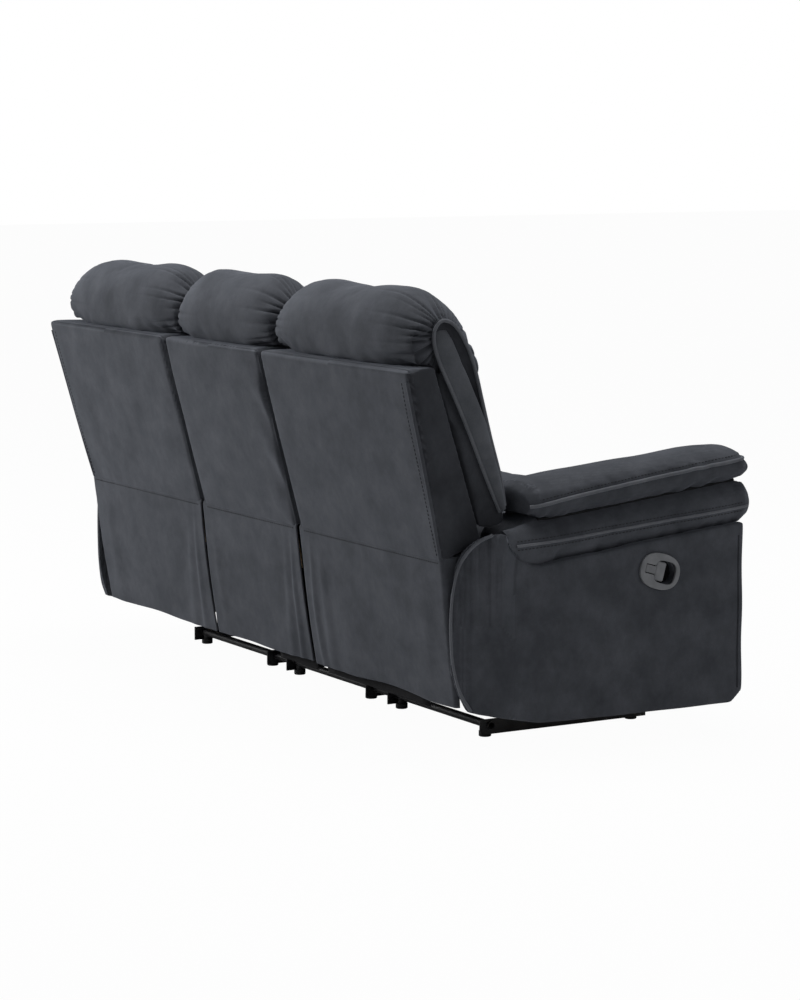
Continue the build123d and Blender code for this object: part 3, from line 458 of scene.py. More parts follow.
def copy_of(piece, name, change):
    """The same piece in another place, moved or mirrored by a matrix."""
    copy = bpy.data.objects.new(name, piece.data.copy())
    scene.collection.objects.link(copy)
    copy.data.transform(change)
    if change.is_negative:
        copy.data.flip_normals()
    return copy


# %% [markdown]
# ## How a seam is dressed
# Seams are covered by piping, a thin tube of the same cloth, mostly in a lighter copy as painted highlight.
# Beside it runs a row of stitches. Both follow a path that is laid on the finished cushion by rays, so they
# sit on the cloth wherever it ended up.

# %% Sewing helpers


def laid_on(piece, starts, way, lift):
    """Where rays that all go one way meet a piece, lifted a little off its cloth; misses are left out."""
    tree = BVHTree.FromObject(piece, bpy.context.evaluated_depsgraph_get())
    found = []
    for start in starts:
        place, normal, _, _ = tree.ray_cast(Vector(start), Vector(way))
        if place is not None:
            found.append(place + normal * lift)
    return found


def ridge(piece, heights, way, slab=0.006):
    """The points of a piece that lie farthest out along a way, one at each height."""
    place = points_of(piece)
    reach = place @ np.array(way, float)
    found = []
    for height in heights:
        level = np.flatnonzero(np.abs(place[:, 2] - height) < slab)
        found.append(tuple(place[level[np.argmax(reach[level])]]))
    return found


def flowing(points, step=0.006):
    """Evenly spaced points on a smooth curve through some points."""
    knots = np.array([tuple(point) for point in points], float)
    knots = np.vstack([2 * knots[0] - knots[1], knots, 2 * knots[-1] - knots[-2]])
    curve = []
    for a, b, c, d in zip(knots, knots[1:], knots[2:], knots[3:]):
        for share in np.linspace(0, 1, 12, endpoint=False)[:, None]:
            bend = 2 * b + (c - a) * share + (2 * a - 5 * b + 4 * c - d) * share**2
            curve.append(0.5 * (bend + (3 * b - a - 3 * c + d) * share**3)[0:3])
    curve = np.vstack([np.array(curve).reshape(-1, 3), knots[-2]])
    run = np.r_[0, np.cumsum(np.linalg.norm(np.diff(curve, axis=0), axis=1))]
    spots = np.linspace(0, run[-1], max(3, int(run[-1] / step)))
    return np.c_[[np.interp(spots, run, curve[:, axis]) for axis in range(3)]].T


def draw_path(name, points):
    """A curve object along a path."""
    bpy.ops.curve.primitive_bezier_curve_add(location=(0, 0, 0))
    path = bpy.context.object
    path.name = name
    path.data.splines.clear()
    spline = path.data.splines.new("POLY")
    spline.points.add(len(points) - 1)
    for spot, point in zip(spline.points, points):
        spot.co = (*point, 1.0)
    return path


def piping(name, points, radius, body, material=None):
    """A tube of cover cloth along a seam, by default in the lighter welt: a painted highlight."""
    path = draw_path(name, flowing(points))
    path.data.bevel_depth = radius
    path.data.bevel_resolution = 2
    path.data.use_fill_caps = True
    only(path)
    bpy.ops.object.convert(target="MESH")
    tube = bpy.context.object
    finish_piece(tube, material or welt_painted_highlight)
    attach(tube, body)


def stitches(name, points, body, length=0.0050, pitch=0.0090, radius=0.0009):
    """A row of short threads: one small prism, repeated along a path."""
    spots = flowing(points, 0.004)
    path = draw_path(name + "_path", spots)
    run = float(np.linalg.norm(np.diff(spots, axis=0), axis=1).sum())
    bpy.ops.mesh.primitive_cylinder_add(vertices=6, radius=radius, depth=length, location=(0, 0, 0))
    row = bpy.context.object
    row.name = name
    row.data.transform(Matrix.Rotation(math.pi / 2, 4, "Y"))
    row.data.transform(Matrix.Translation((length, 0, 0)))
    shift = {"use_relative_offset": False, "use_constant_offset": True}
    shift["constant_offset_displace"] = (pitch, 0, 0)
    applied(row, "ARRAY", count=max(2, int(run / pitch)), **shift)
    applied(row, "CURVE", object=path, deform_axis="POS_X")
    bpy.data.objects.remove(path)
    finish_piece(row, thread)
    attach(row, body)


# %% [markdown]
# ## Back
# Seen from behind, each back is a tall upholstered shell that leans away from the seat. Its front plane,
# which the cushions rest on, and its rear panel are straight lines in the side view.

# %% Lines of the back
seam_z, shell_top_z = 0.430, 0.841
clear = 0.0006  # between a back cushion and the shell


def line_y(z, ends):
    """Y on a straight line between two (z, y) points."""
    (z0, y0), (z1, y1) = ends
    return y0 + (z - z0) * (y1 - y0) / (z1 - z0)


def groove_y(z):
    """The shell's front plane."""
    return line_y(z, ((0.470, 0.262), (shell_top_z, 0.378)))


def rear_y(z):
    """The shell's rear panel."""
    return line_y(z, ((seam_z, 0.358), (shell_top_z, 0.460)))


backs = (("left", "left_back"), ("middle", "base"), ("right", "right_back"))
sides = (("left", 1), ("right", -1))

# %% [markdown]
# The shell is board under thin padding. Its copy is softened, crowned a few millimetres between its
# edges and given the shallow unevenness of cloth pulled over board.

# %% Shells
outer_x, flare = 0.880, 0.020


def side_x(z):
    """The outer side of an outer shell, wider at the top."""
    return outer_x + flare * (z - seam_z) / (shell_top_z - seam_z)


def round_top_corners(place, radius):
    """Rounds a panel's two top corners as seen from behind."""
    top = place[:, 2].max()
    near = place[place[:, 2] > top - 0.03, 0]
    middle_x, half = 0.5 * (near.min() + near.max()), 0.5 * (near.max() - near.min())
    over = np.c_[np.abs(place[:, 0] - middle_x) - (half - radius), place[:, 2] - (top - radius)]
    far = np.hypot(*np.maximum(over, 0).T)
    cut = (over.min(axis=1) > 0) & (far > radius)
    back = np.where(cut, 1 - radius / np.maximum(far, 1e-6), 0)[:, None] * over
    place[:, 0] -= np.sign(place[:, 0] - middle_x) * back[:, 0]
    place[:, 2] -= back[:, 1]
    return place


for seed, (name, body) in enumerate(backs):
    node = name + "_back_shell"
    shell = stuffing(node + "_cover", node, 0.005)
    soften(shell, 5)
    place = points_of(shell)
    low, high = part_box(node)
    across = rise(place[:, 0], low.x, high.x - low.x)
    up = rise(place[:, 2], seam_z, shell_top_z - seam_z)
    behind = bell(place[:, 1] - rear_y(place[:, 2]), 0.012)
    crown = 0.006 * (4 * across * (1 - across)) ** 0.5
    crown *= np.sin(math.pi * np.clip(0.12 + 0.88 * up, 0, 1)) ** 0.6
    uneven = 0.0010 * ripples(place, 0.16, 20 + seed, (1.4, 1, 0.6))
    slack = 0.004 * bell(place[:, 0] + 0.234, 0.050) * np.sin((place[:, 2] - 0.9 * place[:, 0]) * 42)
    slack *= name == "middle"
    padding = 0.006 * np.clip(up * 1.3, 0, 1)
    place[:, 1] += behind * (crown + uneven + slack + padding)
    if name != "middle":
        beyond = rise(np.abs(place[:, 0]), 0.80, 0.08)
        deep = rise(place[:, 1], groove_y(place[:, 2]), 0.075)
        place[:, 0] += np.sign(place[:, 0]) * beyond * up * (0.012 * deep - 0.022 * (1 - deep))
    put_points(shell, round_top_corners(place, 0.020))
    finish_pad(shell, body, node)
    # Painted shade: the outer side faces of the outer shells take the darker suede.
    centres, normals = faces_of(shell)
    painted_shade_faces(shell, painted_shade_suede, (np.abs(normals[:, 0]) > 0.75) & (np.abs(centres[:, 0]) > 0.85))
for name, sign in sides:
    shell = bpy.data.objects[name + "_back_shell_cover"]
    heights = np.linspace(0.434, 0.815, 24)
    corner = np.array(ridge(shell, heights, (sign * 0.62, 0.78, 0)))
    x, y = (np.polyval(np.polyfit(heights, corner[:, axis], 3), heights) for axis in (0, 1))
    corner = np.c_[x - sign * 0.0026, y - 0.0022, heights]
    piping(name + "_shell_corner_piping", corner, 0.0048, name + "_back", suede)
    starts = [(sign * (side_x(z) - 0.016), 0.7, z) for z in np.linspace(0.440, 0.815, 9)]
    row = laid_on(shell, starts, (0, -1, 0), 0.0003)
    stitches(name + "_shell_corner_stitches", row, name + "_back")
    gap_edges = ((name + "_shell_gap", 0.258, name + "_back"), ("middle_shell_" + name, 0.231, "base"))
    for label, edge_x, rider in gap_edges:
        edge = [(sign * edge_x, rear_y(z) - 0.003, z) for z in np.linspace(0.436, 0.826, 9)]
        piping(label + "_piping", edge, 0.0028, rider, suede)

# %% [markdown]
# The flaps hang from the shells' lower seam and are a little gathered beside their edges. Each is a fine
# grid hung on two lines, the seam above and the hem below, with soft folds that deepen downwards.

# %% Flaps
flap_seam_y, hem_y, hem_z = 0.3605, 0.313, 0.113
# Low and high X at the seam, then at the hem.
flap_edges = {
    "left": ((0.250, 0.8785), (0.252, 0.866)),
    "middle": ((-0.236, 0.238), (-0.235, 0.238)),
    "right": ((-0.8785, -0.252), (-0.866, -0.254)),
}
# Distance of each fold from the low-X edge, its width and its depth.
flap_folds = {
    "left": ((0.030, 0.012, 0.0040), (0.075, 0.022, 0.0035), (0.560, 0.030, 0.0030)),
    "middle": ((0.022, 0.010, 0.0045), (0.060, 0.018, 0.0040), (0.440, 0.016, 0.0020)),
    "right": ((0.590, 0.011, 0.0045), (0.548, 0.018, 0.0040), (0.470, 0.035, 0.0025), (0.070, 0.030, 0.0030)),
}
side_return, corner = 0.034, 0.007
for seed, (name, body) in enumerate(backs):
    (t0, t1), (h0, h1) = flap_edges[name]
    flap, grid = new_grid(name + "_flap_cloth", 170, 84)
    across, down = grid[:, 0], 1 - grid[:, 1]
    wide = (t1 - t0) * (1 - down) + (h1 - h0) * down
    folded = 0.0 if name == "middle" else side_return * (1 - 0.85 * down)
    along = across * (wide + folded)
    if name == "right":
        along = (1 - across) * (wide + folded)
    turned = np.clip(along - (wide - corner), 0, corner * math.pi / 2)
    flat_run = np.minimum(along, wide - corner)
    forward = corner * (1 - np.cos(turned / corner))
    forward = forward + np.clip(along - wide + corner - corner * math.pi / 2, 0, None)
    inner = t0 * (1 - down) + h0 * down if name != "right" else t1 * (1 - down) + h1 * down
    if name == "middle":
        x, forward, along = inner + across * wide, 0 * along, across * wide
    else:
        outward = 1 if name == "left" else -1
        x = inner + outward * (flat_run + corner * np.sin(turned / corner))
    z = (seam_z + 0.009) * (1 - down) + hem_z * down
    y = flap_seam_y * (1 - down) + (hem_y + 0.002) * down
    y = y - 0.005 * (1 - rise(down, 0, 0.022)) + 0.004 * np.sin(math.pi * np.clip(down, 0, 1))
    for place_x, width, depth in flap_folds[name]:
        lean = 0.030 * down * (1 if place_x < 0.2 else -1) + 0.006 * np.sin(4 * down + 40 * place_x)
        edge_run = along if name != "right" else wide - along
        fold = bell(edge_run - place_x - lean, width * (0.6 + 0.7 * down))
        y = y + depth * fold * rise(down, 0, 0.5) ** 1.3
    y = y - forward
    y = y + 0.0022 * ripples(np.c_[x, y, z], 0.22, 40 + seed, (1.2, 1, 0.4)) * rise(down, 0, 0.2)
    z = z - 0.003 * down * ripples(np.c_[x, y, z], 0.35, 60 + seed)
    put_points(flap, np.c_[x, y, z])
    applied(flap, "SOLIDIFY", thickness=0.0035, offset=0.0)
    finish_piece(flap, suede)
    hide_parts(name + "_back_flap")
    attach(flap, body)
    row = [(at_x, 0.6, seam_z - 0.004) for at_x in np.linspace(t0 + 0.012, t1 - 0.012, 24)]
    stitches(name + "_flap_stitches", laid_on(flap, row, (0, -1, 0), 0.0003), body)

# %% [markdown]
# Black lining hangs behind the two gaps between the flaps and below two hems, and closes the open rear of
# each arm box.

# %% Linings


def hang_lining(name, corners, body="base"):
    """A thin lining sheet between four corners: two above, two below."""
    cloth, grid = new_grid(name, 12, 24)
    across, up = grid[:, :1], grid[:, 1:2]
    a, b, c, d = (np.array(corner) for corner in corners)
    place = (a * (1 - across) + b * across) * up + (c * (1 - across) + d * across) * (1 - up)
    place[:, 1] += 0.0015 * ripples(place, 0.09, 7)
    put_points(cloth, place)
    applied(cloth, "SOLIDIFY", thickness=0.001, offset=0.0)
    finish_piece(cloth, lining)
    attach(cloth, body)


for name, sign in sides:
    x0, x1 = (0.2545, 0.300) if sign > 0 else (-0.2510, -0.195)
    hang_lining(
        name + "_gap_lining",
        [(x0, 0.340, 0.436), (x1, 0.336, 0.436), (x0, 0.2945, 0.112), (x1, 0.2915, 0.112)],
        "left_back" if sign > 0 else "base",
    )
    depths = ((0.5 * (groove_y(z) + rear_y(z)), z) for z in (0.800, 0.436))
    inside = [(sign * x, y, z) for y, z in depths for x in (0.2525, 0.2345)]
    hang_lining(name + "_gap_lining_high", inside)
    hang_lining(
        name + "_arm_lining",
        [(sign * x, 0.0886, z) for z in (0.404, 0.082) for x in (0.737, 0.915)],
    )
for name, body, x0, x1 in (("right", "right_back", -0.731, -0.272), ("middle", "base", -0.225, -0.040)):
    hang_lining(
        name + "_hem_lining",
        [(x0, 0.305, 0.150), (x1, 0.305, 0.150), (x0, 0.297, 0.090), (x1, 0.297, 0.092)],
        body,
    )

# %% [markdown]
# A headrest is a stuffed roll that sits on the shell's top edge and folds down its front. The cover is
# gathered into short pleats at both ends, so after the simulation the ends get fans of folds.

# %% Headrests
head_z, head_y = 0.905, 0.345  # middle of a roll's end


def press_on_shell(place):
    """Keeps a back cushion ahead of the shell's front plane and above its top edge."""
    inside_y = place[:, 1] - (groove_y(place[:, 2]) - clear)
    inside_z = (shell_top_z + clear) - place[:, 2]
    both = (inside_y > 0) & (inside_z > 0)
    lift = both & (inside_z < inside_y)
    place[lift, 2] += inside_z[lift]
    back = both & ~lift
    place[back, 1] -= inside_y[back]
    return place


def fan_of_folds(place, skin, edge_x, towards, depth, count, seed):
    """Creases that radiate from one end of a roll: uneven in pitch, depth and length."""
    rng = np.random.default_rng(seed)
    turn = np.arctan2(place[:, 2] - head_z, place[:, 1] - head_y)
    drift = 0.9 * np.sin(3 * turn + rng.uniform(0, 6)) + 0.7 * np.sin(7 * turn + rng.uniform(0, 6))
    pleat = 0.35 - bell(np.sin(count / 2 * turn + drift), 0.42)
    uneven = 0.65 + 0.35 * np.sin(5 * turn + rng.uniform(0, 6)) * np.sin(2 * turn + rng.uniform(0, 6))
    inward = (place[:, 0] - edge_x) * towards
    reach = 0.034 * (1.15 + 0.8 * np.sin(9 * turn + rng.uniform(0, 6)))
    share = np.exp(-np.clip(inward - 0.012, 0, None) / np.maximum(reach, 0.008))
    share *= np.clip(inward / 0.012 + 0.70, 0, 1)
    return place + skin * (depth * pleat * uneven * share)[:, None]


# Low and high X of the rolls.
head_ends = {"left": (0.249, 0.859), "middle": (-0.239, 0.239), "right": (-0.859, -0.249)}
heads = {}
for name in ("left", "middle"):
    node = name + "_headrest"
    head = stuffing(node + "_roll", node, 0.007)
    swell(head, -0.006)
    place = points_of(head)
    low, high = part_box(node)
    e0, e1 = head_ends[name]
    place[:, 0] = e0 + (place[:, 0] - low.x) * (e1 - e0) / (high.x - low.x)
    put_points(head, place)
    puff(head, 0.018, 5.0)
    soften(head, 9)
    heads[name] = head
heads["right"] = copy_of(heads["left"], "right_headrest_roll", mirror)
for seed, (name, body) in enumerate(backs):
    head = heads[name]
    applied(head, "SUBSURF", levels=1, render_levels=1)
    place = points_of(head)
    e0, e1 = head_ends[name]
    place = fan_of_folds(place, normals_of(head), e0, 1, 0.012, 26, 70 + seed)
    place = fan_of_folds(place, normals_of(head), e1, -1, 0.006, 26, 80 + seed)
    if name != "middle":
        end = rise(np.abs(place[:, 0]), 0.74, 0.12)
        place[:, 0] += np.sign(place[:, 0]) * 0.018 * end * rise(place[:, 1], 0.352, 0.03)
    place = roughen(head, place, 0.0022, 0.13, 90 + seed, (0.8, 1, 1))
    reach = 0.020 * rise(place[:, 1], 0.352, 0.03) * (name != "middle")
    low_end = e0 - 0.001 - reach * (e0 < -0.5)
    high_end = e1 + 0.001 + reach * (e1 > 0.5)
    place[:, 0] = np.clip(place[:, 0], low_end, high_end)
    put_points(head, press_on_shell(place))
    finish_pad(head, body, name + "_headrest")

# %% [markdown]
# Lumbar pads and wings rest on the shell's front plane, below the headrests.

# %% Lumbar pads and wings
pads = {}
for name in ("left", "middle"):
    node = name + "_lumbar_cushion"
    pad = stuffing(node + "_pad", node, 0.007)
    swell(pad, -0.006)
    puff(pad, 0.014)
    soften(pad, 3)
    pads[name] = pad
pads["right"] = copy_of(pads["left"], "right_lumbar_cushion_pad", mirror)
for seed, (name, body) in enumerate(backs):
    node = name + "_lumbar_cushion"
    pad = pads[name]
    place = roughen(pad, points_of(pad), 0.0018, 0.12, 100 + seed)
    low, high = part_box(node)
    place[:, 0] = np.clip(place[:, 0], low.x, high.x)
    place[:, 2] = np.clip(place[:, 2], low.z, high.z)
    put_points(pad, press_on_shell(place))
    finish_pad(pad, body, node)

# The outer wing ends in a side gusset inside a piped loop; pairs are (ahead of the shell, height).
gusset_x = 0.8844
rear_side = ((0.064, 0.527), (0.053, 0.600), (0.042, 0.690), (0.030, 0.770), (0.017, 0.840), (0.014, 0.880))
rear_side += ((0.021, 0.912), (0.038, 0.932), (0.055, 0.938))
front_side = ((0.080, 0.540), (0.088, 0.600), (0.090, 0.690), (0.094, 0.770), (0.097, 0.830), (0.095, 0.870))
front_side += ((0.087, 0.905), (0.074, 0.929), (0.056, 0.938))


def side_line(line, x, sign):
    """A line of (ahead of the shell, height) pairs on the outer side of the back."""
    return [(sign * x, groove_y(z) - ahead, z) for ahead, z in line]


wings = {"left": stuffing("left_back_wings_pads", "left_back_wings", 0.006)}
bpy.ops.mesh.primitive_cube_add(size=1.0)
band = bpy.context.object
grid = points_of(band) + 0.5
high = 0.680 + 0.152 * grid[:, 2]
put_points(band, np.c_[0.800 + 0.078 * grid[:, 0], groove_y(high) - 0.001 - 0.036 * grid[:, 1], high])
only(wings["left"])
band.select_set(True)
bpy.ops.object.join()
bpy.ops.object.voxel_remesh()
swell(wings["left"], -0.004)
puff(wings["left"], 0.010)
soften(wings["left"], 3)
wings["right"] = copy_of(wings["left"], "right_back_wings_pads", mirror)
for seed, (name, sign) in enumerate(sides):
    node = name + "_back_wings"
    wing = wings[name]
    place = roughen(wing, points_of(wing), 0.0015, 0.11, 110 + seed)
    low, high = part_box(node)
    far = np.abs(place[:, 0])
    ahead = groove_y(place[:, 2]) - place[:, 1]
    loop_front = np.interp(place[:, 2], [z for _, z in front_side], [a for a, _ in front_side]) - 0.004
    inside = (far > 0.850) & (place[:, 2] > 0.54)
    place[inside, 1] = np.maximum(place[inside, 1], (groove_y(place[:, 2]) - loop_front)[inside])
    place[inside, 2] = np.minimum(place[inside, 2], 0.925)
    hollow = 0.011 + 0.011 * rise(place[:, 2], 0.70, 0.10)
    place[:, 0] = np.sign(place[:, 0]) * np.minimum(far, gusset_x - hollow)
    place[:, 1] += 0.012 * rise(far, 0.78, 0.04) * rise(ahead, 0.050, 0.05)
    place[:, 0] = np.clip(place[:, 0], low.x, high.x)
    put_points(wing, press_on_shell(place))
    finish_pad(wing, name + "_back", node)
    # Painted shade: the wing's outer band beside the gusset takes the darker suede.
    centres, _ = faces_of(wing)
    painted_shade_faces(wing, painted_shade_suede, np.abs(centres[:, 0]) > 0.859)
    rear_edge = flowing(side_line(rear_side, gusset_x - 0.008, sign), 0.004)
    front_edge = flowing(side_line(front_side, gusset_x - 0.008, sign), 0.004)
    for part, top, narrow in (("gusset_floor", 0.985, 0.0), ("gusset_panel", 0.925, 0.30)):
        gusset, grid = new_grid(name + "_" + part, 24, 100)
        up = grid[:, 1] * top
        rows = [
            np.c_[[np.interp(up, np.linspace(0, 1, len(edge)), edge[:, axis]) for axis in range(3)]].T
            for edge in (rear_edge, front_edge)
        ]
        share = grid[:, :1] * (1 - narrow * rise(grid[:, 1:2], 0.45, 0.35))
        place = rows[0] * (1 - share) + rows[1] * share
        if narrow:
            full = np.sin(math.pi * grid[:, 0]) ** 0.6 * rise(1 - grid[:, 1], 0, 0.16) ** 0.5
            place[:, 0] += sign * (0.013 * full + 0.0012 * ripples(place, 0.08, 150) * full)
            low_edge = rise(grid[:, 0], 0.85, 0.15) * rise(grid[:, 1], 0.45, 0.2)
            place[:, 0] -= sign * (0.010 * low_edge + 0.010 * rise(grid[:, 1], 0.93, 0.07))
        else:
            place[:, 0] -= sign * 0.008 * np.sin(math.pi * grid[:, 0]) ** 0.5
        put_points(gusset, place)
        if sign > 0:
            gusset.data.flip_normals()
        applied(gusset, "SOLIDIFY", thickness=0.005, offset=-1.0)
        # Painted light and shade: the gusset panel takes the lighter suede, the loop's floor behind it the
        # darker.
        finish_piece(gusset, painted_light_suede if narrow else painted_shade_suede)
        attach(gusset, name + "_back")
    loop = side_line(rear_side + front_side[-2::-1], gusset_x - 0.006, sign)
    piping(name + "_gusset_piping", loop, 0.0040, name + "_back")

# %% [markdown]
# ## Seats and footrests
# The three seats are alike, so one cushion is simulated and copied across.

# %% Seat cushions and front pads
seat_step = 0.488
deck_front_y, deck_z = -0.3604, 0.3594


def three_of(kind, node_left, voxel, shrink, cap):
    """One simulated pad for the left seat, and its copies for the middle and the right."""
    first = stuffing("left_" + kind, node_left, voxel)
    swell(first, -shrink)
    puff(first, cap)
    soften(first, 3)
    middle = copy_of(first, "middle_" + kind, Matrix.Translation((-seat_step, 0, 0)))
    return first, middle, copy_of(first, "right_" + kind, mirror)


seat_nodes = ("left_seat_cushion", "middle_seat_cushion", "right_seat_cushion")
seat_bodies = ("left_seat", "base", "right_seat")
for seed, (pad, node, body) in enumerate(
    zip(three_of("seat_pad", "left_seat_cushion", 0.009, 0.006, 0.016), seat_nodes, seat_bodies)
):
    place = roughen(pad, points_of(pad), 0.0025, 0.18, 120 + seed)
    low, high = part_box(node)
    place[:, 0] = np.clip(place[:, 0], low.x - 0.002, high.x + 0.002)
    on_deck = place[:, 1] > deck_front_y
    place[on_deck, 2] = np.maximum(place[on_deck, 2], deck_z)
    put_points(pad, place)
    finish_pad(pad, body, node)

front_nodes = ("left_footrest_pad", "middle_front_panel", "right_footrest_pad")
front_bodies = ("left_footrest", "base", "right_footrest")
for seed, (pad, node, body) in enumerate(
    zip(three_of("front_pad", "left_footrest_pad", 0.007, 0.004, 0.010), front_nodes, front_bodies)
):
    place = roughen(pad, points_of(pad), 0.0018, 0.16, 130 + seed)
    low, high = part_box(node)
    place = np.clip(place, np.array(low), np.array(high))
    put_points(pad, place)
    finish_pad(pad, body, node)

# %% [markdown]
# ## Arms
# An arm is a padded box under a lower roll and a pillow top. The pillow and the roll are sewn with a
# piped seam along the outside, and gathered where they run under the back.

# %% Arm panels, rolls and pillows
arm_x, turn_radius = 0.943, 0.1778
outside_x = 1.2  # where rays towards an arm start


def pad_line(y):
    """Height of the pillow's piping."""
    return 0.565 - 0.127 * y - 0.25 * max(0.0, y - 0.05) ** 2 - 0.05 * min(0.0, y + 0.15) ** 2


def roll_line(y):
    """Height of the roll's piping."""
    return 0.475 - 0.085 * y + 0.10 * max(0.0, y - 0.02) ** 2


def turn_x(y):
    """The side panel's outer face, which turns in behind the seat."""
    return arm_x - turn_radius + math.sqrt(turn_radius**2 - max(0.0, y - 0.215) ** 2)


def tuck_under(place):
    """Pushes the side panel's top edge a little way into the roll, so that no gap shows."""
    y, z = place[:, 1], place[:, 2]
    end_y, end_z, reach = 0.150, 0.5015, 0.030
    straight = (0.423 - 0.11 * y) - z
    round_end = np.hypot(y - end_y, z - end_z) - 0.095
    near = np.where(y < end_y, straight, round_end)
    share = np.clip(1 - near / reach, 0, 1) * (near < reach)
    inward = np.c_[0 * y, np.where(y < end_y, 0, end_y - y), np.where(y < end_y, 1, end_z - z)]
    inward /= np.maximum(np.linalg.norm(inward, axis=1, keepdims=True), 1e-6)
    return place + inward * (0.010 * share)[:, None]


def tuck_z(y):
    """Height of the tuck between the pillow and the roll."""
    return 0.526 - 0.112 * y


def pull_tuck(place, kind):
    """Draws the roll in under the pillow in a narrow tuck, and brings both out to a full front."""
    height = place[:, 2] - tuck_z(place[:, 1])
    ahead = rise(-place[:, 1], 0.335, 0.03)
    if kind == "arm_roll":
        outside = rise(np.abs(place[:, 0]), 0.90, 0.03)
        pull = 0.016 * np.clip(1 + np.minimum(height, 0) / 0.013, 0, 1)
        place[:, 0] -= np.sign(place[:, 0]) * pull * outside
        place[:, 1] -= 0.012 * ahead * bell(height, 0.022)
    else:
        place[:, 1] -= 0.009 * ahead * (1 - rise(height, 0, 0.045))
        place[:, 2] -= 0.007 * rise(height, 0, 0.045) * rise(-place[:, 1], -0.02, 0.2)
    return place


def crease(pieces, sign, ys):
    """The innermost line between two pieces on the arm's side, found with rays at each place."""
    graph = bpy.context.evaluated_depsgraph_get()
    trees = [BVHTree.FromObject(piece, graph) for piece in pieces]
    found = []
    for y in ys:
        row = []
        for z in np.linspace(tuck_z(y) - 0.022, tuck_z(y) + 0.016, 39):
            start = Vector((sign * outside_x, y, z))
            hits = [tree.ray_cast(start, Vector((-sign, 0, 0)))[0] for tree in trees]
            row.append((max([abs(hit.x) for hit in hits if hit is not None] + [0.905]), z))
        found.append(min(row))
    x, z = np.array(found).T
    z = np.polyval(np.polyfit(ys, z, 4), ys)
    x = np.polyval(np.polyfit(ys, x, 5), ys)
    return [(sign * (a + 0.001), y, c) for a, y, c in zip(x, ys, z)]


def gather_pad(place, skin):
    """Short gathers where the pillow runs under the back, and slanting creases on its side near the front."""
    low = 0.525 - 0.11 * place[:, 1]
    height = place[:, 2] - low
    rear = np.exp(-np.clip(0.150 - place[:, 1], 0, None) / 0.045)
    folds = np.sin(place[:, 1] * 190 + height * 60) * (1 - rise(height, 0, 0.085))
    front = bell(place[:, 1] + 0.250, 0.085) * (1 - rise(height, 0, 0.055))
    creases = np.sin((place[:, 1] + 0.9 * height) * 105)
    return place + skin * (0.0035 * rear * folds + 0.0022 * front * creases)[:, None]


# Voxel size, shrinking before and cap of the simulation, rounds of softening, fill.
arm_kinds = (
    ("arm_side_panel", 0.006, 0.0, 0.0, 10, 0.25),
    ("arm_inner_panel", 0.007, 0.0, 0.0, 6, 0.25),
    ("arm_roll", 0.006, 0.005, 0.011, 3, 0.7),
    ("arm_pad", 0.006, 0.004, 0.008, 2, 0.8),
)
for kind, voxel, shrink, cap, rounds, fill in arm_kinds:
    first = stuffing("left_" + kind + "_cover", "left_" + kind, voxel)
    if cap:
        swell(first, -shrink)
        puff(first, cap)
    soften(first, rounds)
    other = copy_of(first, "right_" + kind + "_cover", mirror)
    for seed, (name, piece) in enumerate((("left", first), ("right", other))):
        place = roughen(piece, points_of(piece), 0.0016, 0.17, 140 + seed)
        if kind == "arm_side_panel":
            place = tuck_under(place)
        if kind in ("arm_roll", "arm_pad"):
            place = pull_tuck(place, kind)
        if kind == "arm_pad":
            line = 0.581 - 0.105 * place[:, 1]
            place[:, 2] -= 0.30 * np.clip(place[:, 2] - line, 0, None)
            place[:, 1] += 0.018 * rise(place[:, 1], 0.08, 0.07)
            place = gather_pad(place, normals_of(piece))
        put_points(piece, place)
        finish_pad(piece, "base", name + "_" + kind)

# %% [markdown]
# Piping runs along the pillow's outer edge and round its front, and along the roll, in the lighter
# welt that is a painted highlight; single stitches run above the pillow's piping and double ones on the
# roll. A black strip lies in the tuck between the two as a painted shadow, and the side panel's front and
# rear edges are piped as well, the front one in the darker suede as painted shade.

# %% Arm piping and stitches
turned_edge = ((0.312, 0.112), (0.330, 0.150), (0.341, 0.205), (0.345, 0.266), (0.344, 0.340), (0.336, 0.408))
turned_edge += ((0.322, 0.446), (0.300, 0.473), (0.272, 0.488))
